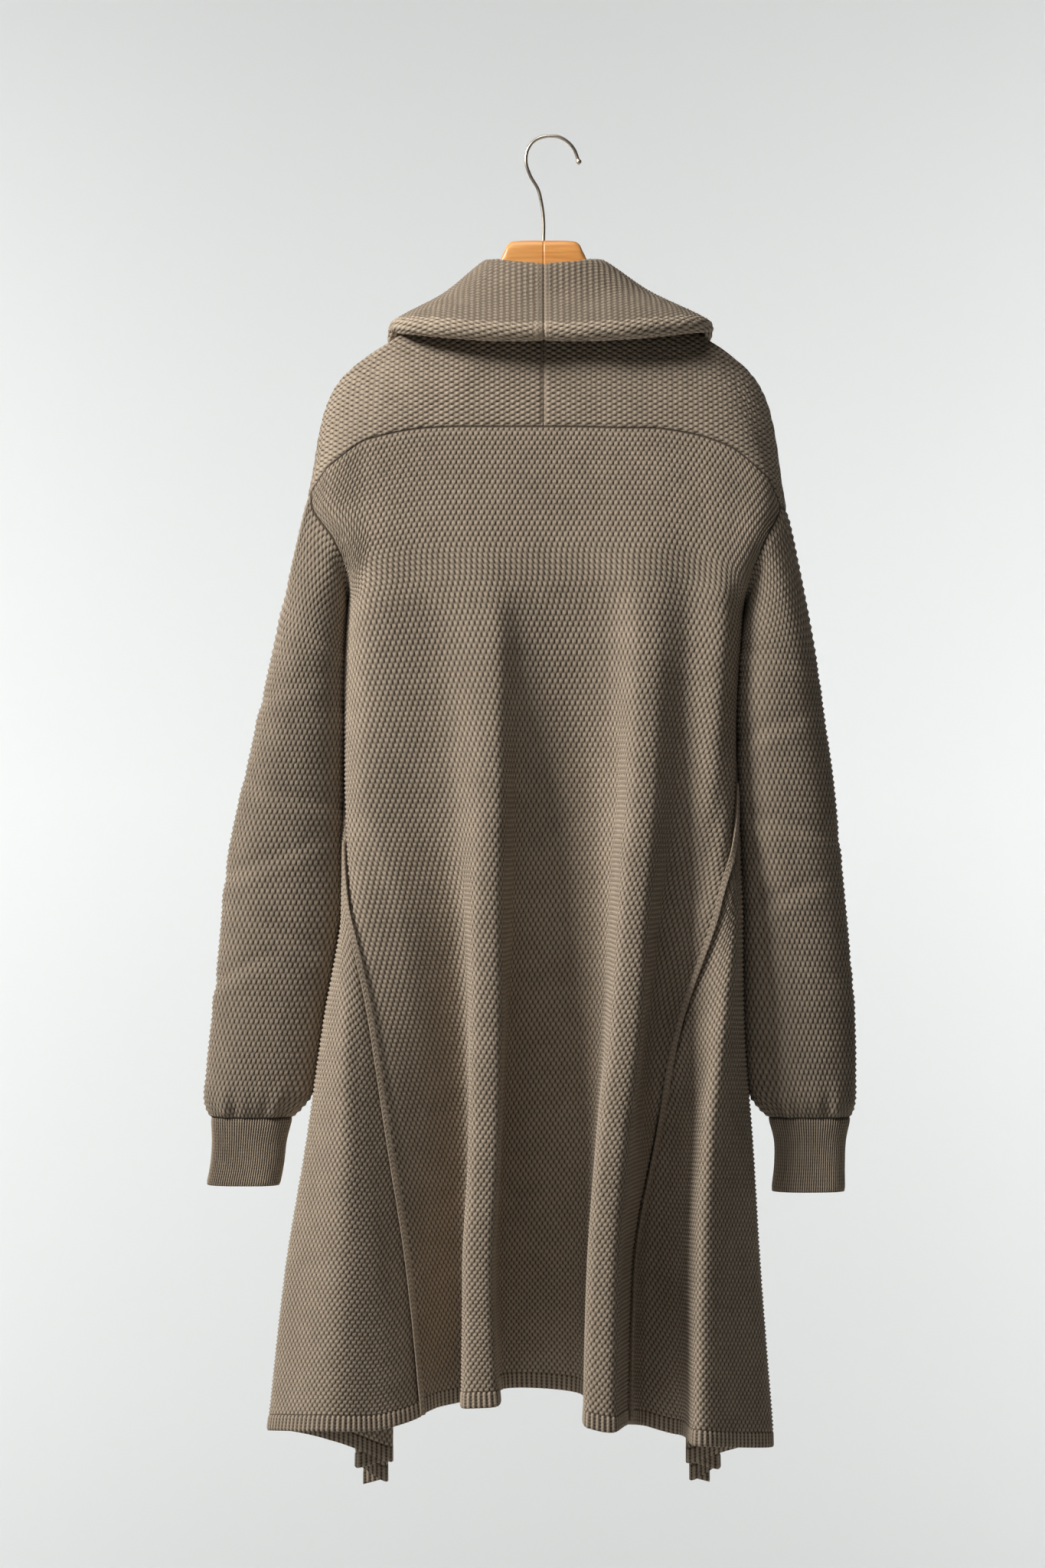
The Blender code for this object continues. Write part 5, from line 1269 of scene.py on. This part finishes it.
def yarn(name, kind, tone=1.0):
    """Taupe yarn, fuzzy at fibre scale, with painted shade in the stitches' pits and along sewn
    edges, painted light on their bumps, and tone painting a whole piece lighter above 1 and darker
    below 1.
    """
    n = Nodes(name)
    stitch = n.add("ShaderNodeUVMap", uv_map="stitch").outputs[0]
    s, t = n.add("ShaderNodeSeparateXYZ", {0: stitch}).outputs[:2]
    soft, sewn = [n.add("ShaderNodeAttribute", attribute_name=label).outputs["Fac"]
                  for label in ("plain", "sewn")]
    middle = n.less(t, 0.5)
    wave_s = n.wave(s)
    bump_stitch = n.times(wave_s, n.wave(middle, math.pi))
    chevron = n.wave(n.plus(t, n.math("ABSOLUTE", n.less(n.math("FRACT", s), 0.5))))
    plain_height = n.times(chevron, 0.4)
    if kind == "fall":
        height = n.plus(n.times(n.wave(middle), FALL_RIDGE), n.times(bump_stitch, FALL_MOSS))
    elif kind == "rib":
        height = n.plus(n.times(wave_s, 0.75), n.times(chevron, 0.22))
    elif kind == "plain":
        height = plain_height
    else:
        groove = n.times(n.plus(n.wave(t), 1.0), -0.5 * ROW_GROOVE)
        pit = n.times(n.less(1.0, bump_stitch), 0.5)
        height = n.plus(n.less(1.0, n.times(n.math("POWER", pit, PIT_POWER), 2.0)), groove)
    height = n.mix(soft, height, plain_height, "FLOAT", 2)
    fibre = n.noise(1100.0, 1.0, 0.6)
    shade = n.plus(n.ramp(n.noise(9.0, 1.0), 0.3, 0.7, 0.93, 1.06),
                   n.ramp(n.noise(55.0, 1.0), 0.3, 0.7, -0.06, 0.06))
    # tone scales the whole piece: above 1 it paints light on it, below 1 it paints shade; the
    # noise terms are the yarn's own random tone
    shade = n.times(n.plus(shade, n.ramp(fibre, 0.3, 0.7, -0.12, 0.12)), tone)
    # Painted light on the bumps, where the stitch height is high
    colour = n.mix(n.ramp(height, 0.0, 0.9, 0.0, 0.6), YARN, YARN_PAINTED_LIGHT)
    # Painted shade in the pits and row grooves, where the stitch height is low
    colour = n.mix(n.ramp(height, -0.1, -0.8, 0.0, 0.9), colour, YARN_PAINTED_SHADE)
    # Painted shade along sewn edges, from the sewn attribute
    colour = n.mix(n.times(sewn, 0.92), colour, YARN_PAINTED_SHADE)
    toned = n.add("ShaderNodeVectorMath", {0: colour, "Scale": shade}, operation="SCALE")
    fuzz = n.plus(n.times(fibre, 0.6), n.times(height, 0.5))
    return n.finished({
        "Base Color": toned.outputs[0], "Normal": n.bump(fuzz, 1.0, 0.0008), "Roughness": 0.95,
        "Sheen Weight": 0.12, "Sheen Roughness": 0.5, "Sheen Tint": (0.75, 0.68, 0.6, 1),
        "Specular IOR Level": 0.12})


def varnished_wood():
    """Orange tan wood with long grain under a satin varnish."""
    n = Nodes("varnished_wood")
    grain = n.noise(4.0, 5.0, 0.6, stretch=(6.0, 90.0, 90.0))
    pore = n.noise(1.0, 2.0, 0.6, stretch=(60.0, 1400.0, 1400.0))
    broad = n.noise(14.0)
    colour = n.mix(n.ramp(grain, 0.35, 0.68), (0.86, 0.40, 0.115, 1), (0.66, 0.26, 0.06, 1))
    colour = n.mix(n.ramp(pore, 0.6, 0.78, 0.0, 0.4), colour, (0.42, 0.15, 0.035, 1))
    colour = n.mix(n.ramp(broad, 0.35, 0.7, 0.0, 0.25), colour, (0.92, 0.5, 0.19, 1))
    return n.finished({
        "Base Color": colour, "Roughness": n.ramp(grain, 0.3, 0.7, 0.30, 0.42),
        "Normal": n.bump(pore, 0.25, 0.0002), "Coat Weight": 0.25, "Coat Roughness": 0.25})


def wire_steel():
    """Warm bright wire, lightly rubbed."""
    n = Nodes("wire_steel")
    wear, fine = n.noise(160.0, 4.0, 0.6), n.noise(1500.0)
    colour = n.mix(n.ramp(wear, 0.4, 0.7), (0.74, 0.66, 0.55, 1), (0.60, 0.52, 0.42, 1))
    return n.finished({
        "Base Color": colour, "Roughness": n.ramp(wear, 0.3, 0.7, 0.24, 0.4),
        "Normal": n.bump(fine, 0.15, 0.0001), "Metallic": 1.0})


def pale_wall():
    """Matt pale grey paint."""
    n = Nodes("pale_wall")
    tone, grain = n.noise(0.6), n.noise(260.0, 3.0)
    colour = n.mix(n.ramp(tone, 0.3, 0.7), (0.78, 0.79, 0.785, 1), (0.80, 0.81, 0.805, 1))
    return n.finished({
        "Base Color": colour, "Roughness": n.ramp(grain, 0.3, 0.7, 0.9, 0.97),
        "Normal": n.bump(grain, 0.05, 0.0004)})


ROOM_LIGHT = 0.045         # strength of the room's light on the object
ROOM_SEEN = 0.82           # brightness of the room behind the object, seen from other sides
FLOOR_Z = -2.05
FLOOR_FROM = -3.6          # the floor's near edge, on the camera's side
WALL_Y = 4.8
WALL_TOP = 6.0
CURVE = 1.5                # radius between floor and wall
STAGE_HALF = 12.0
MIDDLE = (0.0, 0.0, -0.5)  # where the main lamps aim
# Lamps: name, place, aim, size, power in watts, colour.
LAMPS = (
    ("key", (-2.3, -1.35, 1.2), MIDDLE, (0.9, 0.9), 118.0, (1.0, 0.985, 0.96)),
    ("top", (-0.3, -1.0, 1.5), (0.0, 0.0, -0.2), (0.8, 0.8), 11.0, (1.0, 0.99, 0.97)),
    ("fill", (0.6, -3.6, 0.4), MIDDLE, (2.4, 2.4), 1.0, (0.98, 0.99, 1.0)),
    ("wall_left", (-3.4, 2.4, -0.4), (-1.2, WALL_Y, -0.6), (2.0, 3.4), 98.0, (0.99, 1.0, 1.0)),
    ("wall_right", (3.4, 2.4, -0.4), (1.2, WALL_Y, -0.6), (2.0, 3.4), 98.0, (0.99, 1.0, 1.0)),
)
CAMERA = (-0.0230, -2.6, -0.5148)
FOCAL_LENGTH = 74.92       # for a sensor 36 mm on its long side


def build_stage():
    """Pale floor that curves up into a wall well behind the object."""
    turn = np.linspace(0, math.pi / 2, 17)
    y = np.concatenate([[FLOOR_FROM, FLOOR_FROM / 2, 0.0],
                        WALL_Y - CURVE + CURVE * np.sin(turn), [WALL_Y]])
    z = np.concatenate([[FLOOR_Z] * 3, FLOOR_Z + CURVE - CURVE * np.cos(turn), [WALL_TOP]])
    points = [(x, a, b) for x in (-STAGE_HALF, STAGE_HALF) for a, b in zip(y, z)]
    count = len(y)
    faces = [(i, count + i, count + i + 1, i + 1) for i in range(count - 1)]
    mesh = bpy.data.meshes.new("backdrop")
    mesh.from_pydata(points, [], faces)
    mesh.polygons.foreach_set("use_smooth", [True] * len(faces))
    mesh.materials.append(pale_wall())
    floor = bpy.data.objects.new("backdrop", mesh)
    bpy.context.scene.collection.objects.link(floor)


def area_light(name, place, target, size, power, colour):
    """Soft rectangular lamp aimed at a point."""
    lamp = bpy.data.lights.new(name, "AREA")
    lamp.shape = "RECTANGLE"
    lamp.size, lamp.size_y = size
    lamp.energy = power
    lamp.color = colour
    holder = bpy.data.objects.new(name, lamp)
    holder.location = place
    holder.rotation_euler = (Vector(target) - Vector(place)).to_track_quat("-Z", "Y").to_euler()
    bpy.context.scene.collection.objects.link(holder)


def light_and_camera():
    """Soft light from the upper left and the camera square on to the back."""
    for lamp in LAMPS:
        area_light(*lamp)
    world = bpy.data.worlds.new("pale_room")
    world.use_nodes = True
    tree = world.node_tree
    background = tree.nodes["Background"]
    background.inputs["Color"].default_value = (0.86, 0.88, 0.9, 1)
    seen = tree.nodes.new("ShaderNodeMapRange")
    seen.inputs["To Min"].default_value = ROOM_LIGHT
    seen.inputs["To Max"].default_value = ROOM_SEEN
    path = tree.nodes.new("ShaderNodeLightPath")
    tree.links.new(path.outputs["Is Camera Ray"], seen.inputs["Value"])
    tree.links.new(seen.outputs[0], background.inputs["Strength"])
    bpy.context.scene.world = world
    bpy.context.scene.view_settings.view_transform = "Standard"
    lens = bpy.data.cameras.new("camera")
    lens.lens = FOCAL_LENGTH
    lens.sensor_width = 36.0
    lens.clip_end = 60.0
    camera = bpy.data.objects.new("camera", lens)
    camera.location = CAMERA
    camera.rotation_euler = (math.radians(90), 0, 0)
    bpy.context.scene.collection.objects.link(camera)
    bpy.context.scene.camera = camera


def declare(piece, node, slot):
    """Hangs a piece under the root body and hides the solid that it stands for."""
    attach(piece, "root")
    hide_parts(node)
    if slot in ("wood", "hook"):
        return


def main():
    moss_look = yarn("yarn_moss", "moss")
    # The fall and sleeve looks are the same yarn with painted shade, the roll's look the same yarn
    # with painted light.
    fall_painted_shade_look = yarn("yarn_fall_painted_shade", "fall", 0.8)
    roll_painted_light_look = yarn("yarn_roll_painted_light", "moss", 1.2)
    sleeve_painted_shade_look = yarn("yarn_sleeve_painted_shade", "moss", 0.84)
    rib_look = yarn("yarn_rib", "rib")
    smooth_look = yarn("yarn_smooth", "plain")
    board = build_wood(varnished_wood())
    hook = build_hook(wire_steel())
    declare(board, "hanger_wood", "wood")
    declare(hook, "hanger_hook", "hook")
    pieces = build_body(moss_look, smooth_look)
    pieces.update(build_bands(rib_look))
    for side in ("left", "right"):
        pieces["knit_yoke_" + side] = build_yoke(side, moss_look)
        pieces["knit_collar_" + side] = build_collar(side, roll_painted_light_look, fall_painted_shade_look)
        pieces["knit_sleeve_" + side] = build_sleeve(side, sleeve_painted_shade_look)
        pieces["knit_cuff_" + side] = build_cuff(side, rib_look)
    declare(pieces["knit_back"], "back", "knit")
    declare(pieces["knit_back_hem"], "back_hem", "rib")
    for side in ("left", "right"):
        yoke = "knit_yoke_" + side
        declare(pieces[yoke], "yoke_" + side, "knit")
        declare(pieces["knit_collar_" + side], "collar_" + side, "rib")
        declare(pieces["knit_front_" + side], "front_" + side, "knit")
        declare(pieces["knit_front_hem_" + side], "front_hem_" + side, "rib")
        declare(pieces["knit_sleeve_" + side], "sleeve_" + side, "knit")
        declare(pieces["knit_cuff_" + side], "cuff_" + side, "rib")
        declare(pieces["selvedge_" + side], "seam_" + side, "selvedge")
    build_stage()
    light_and_camera()


main()
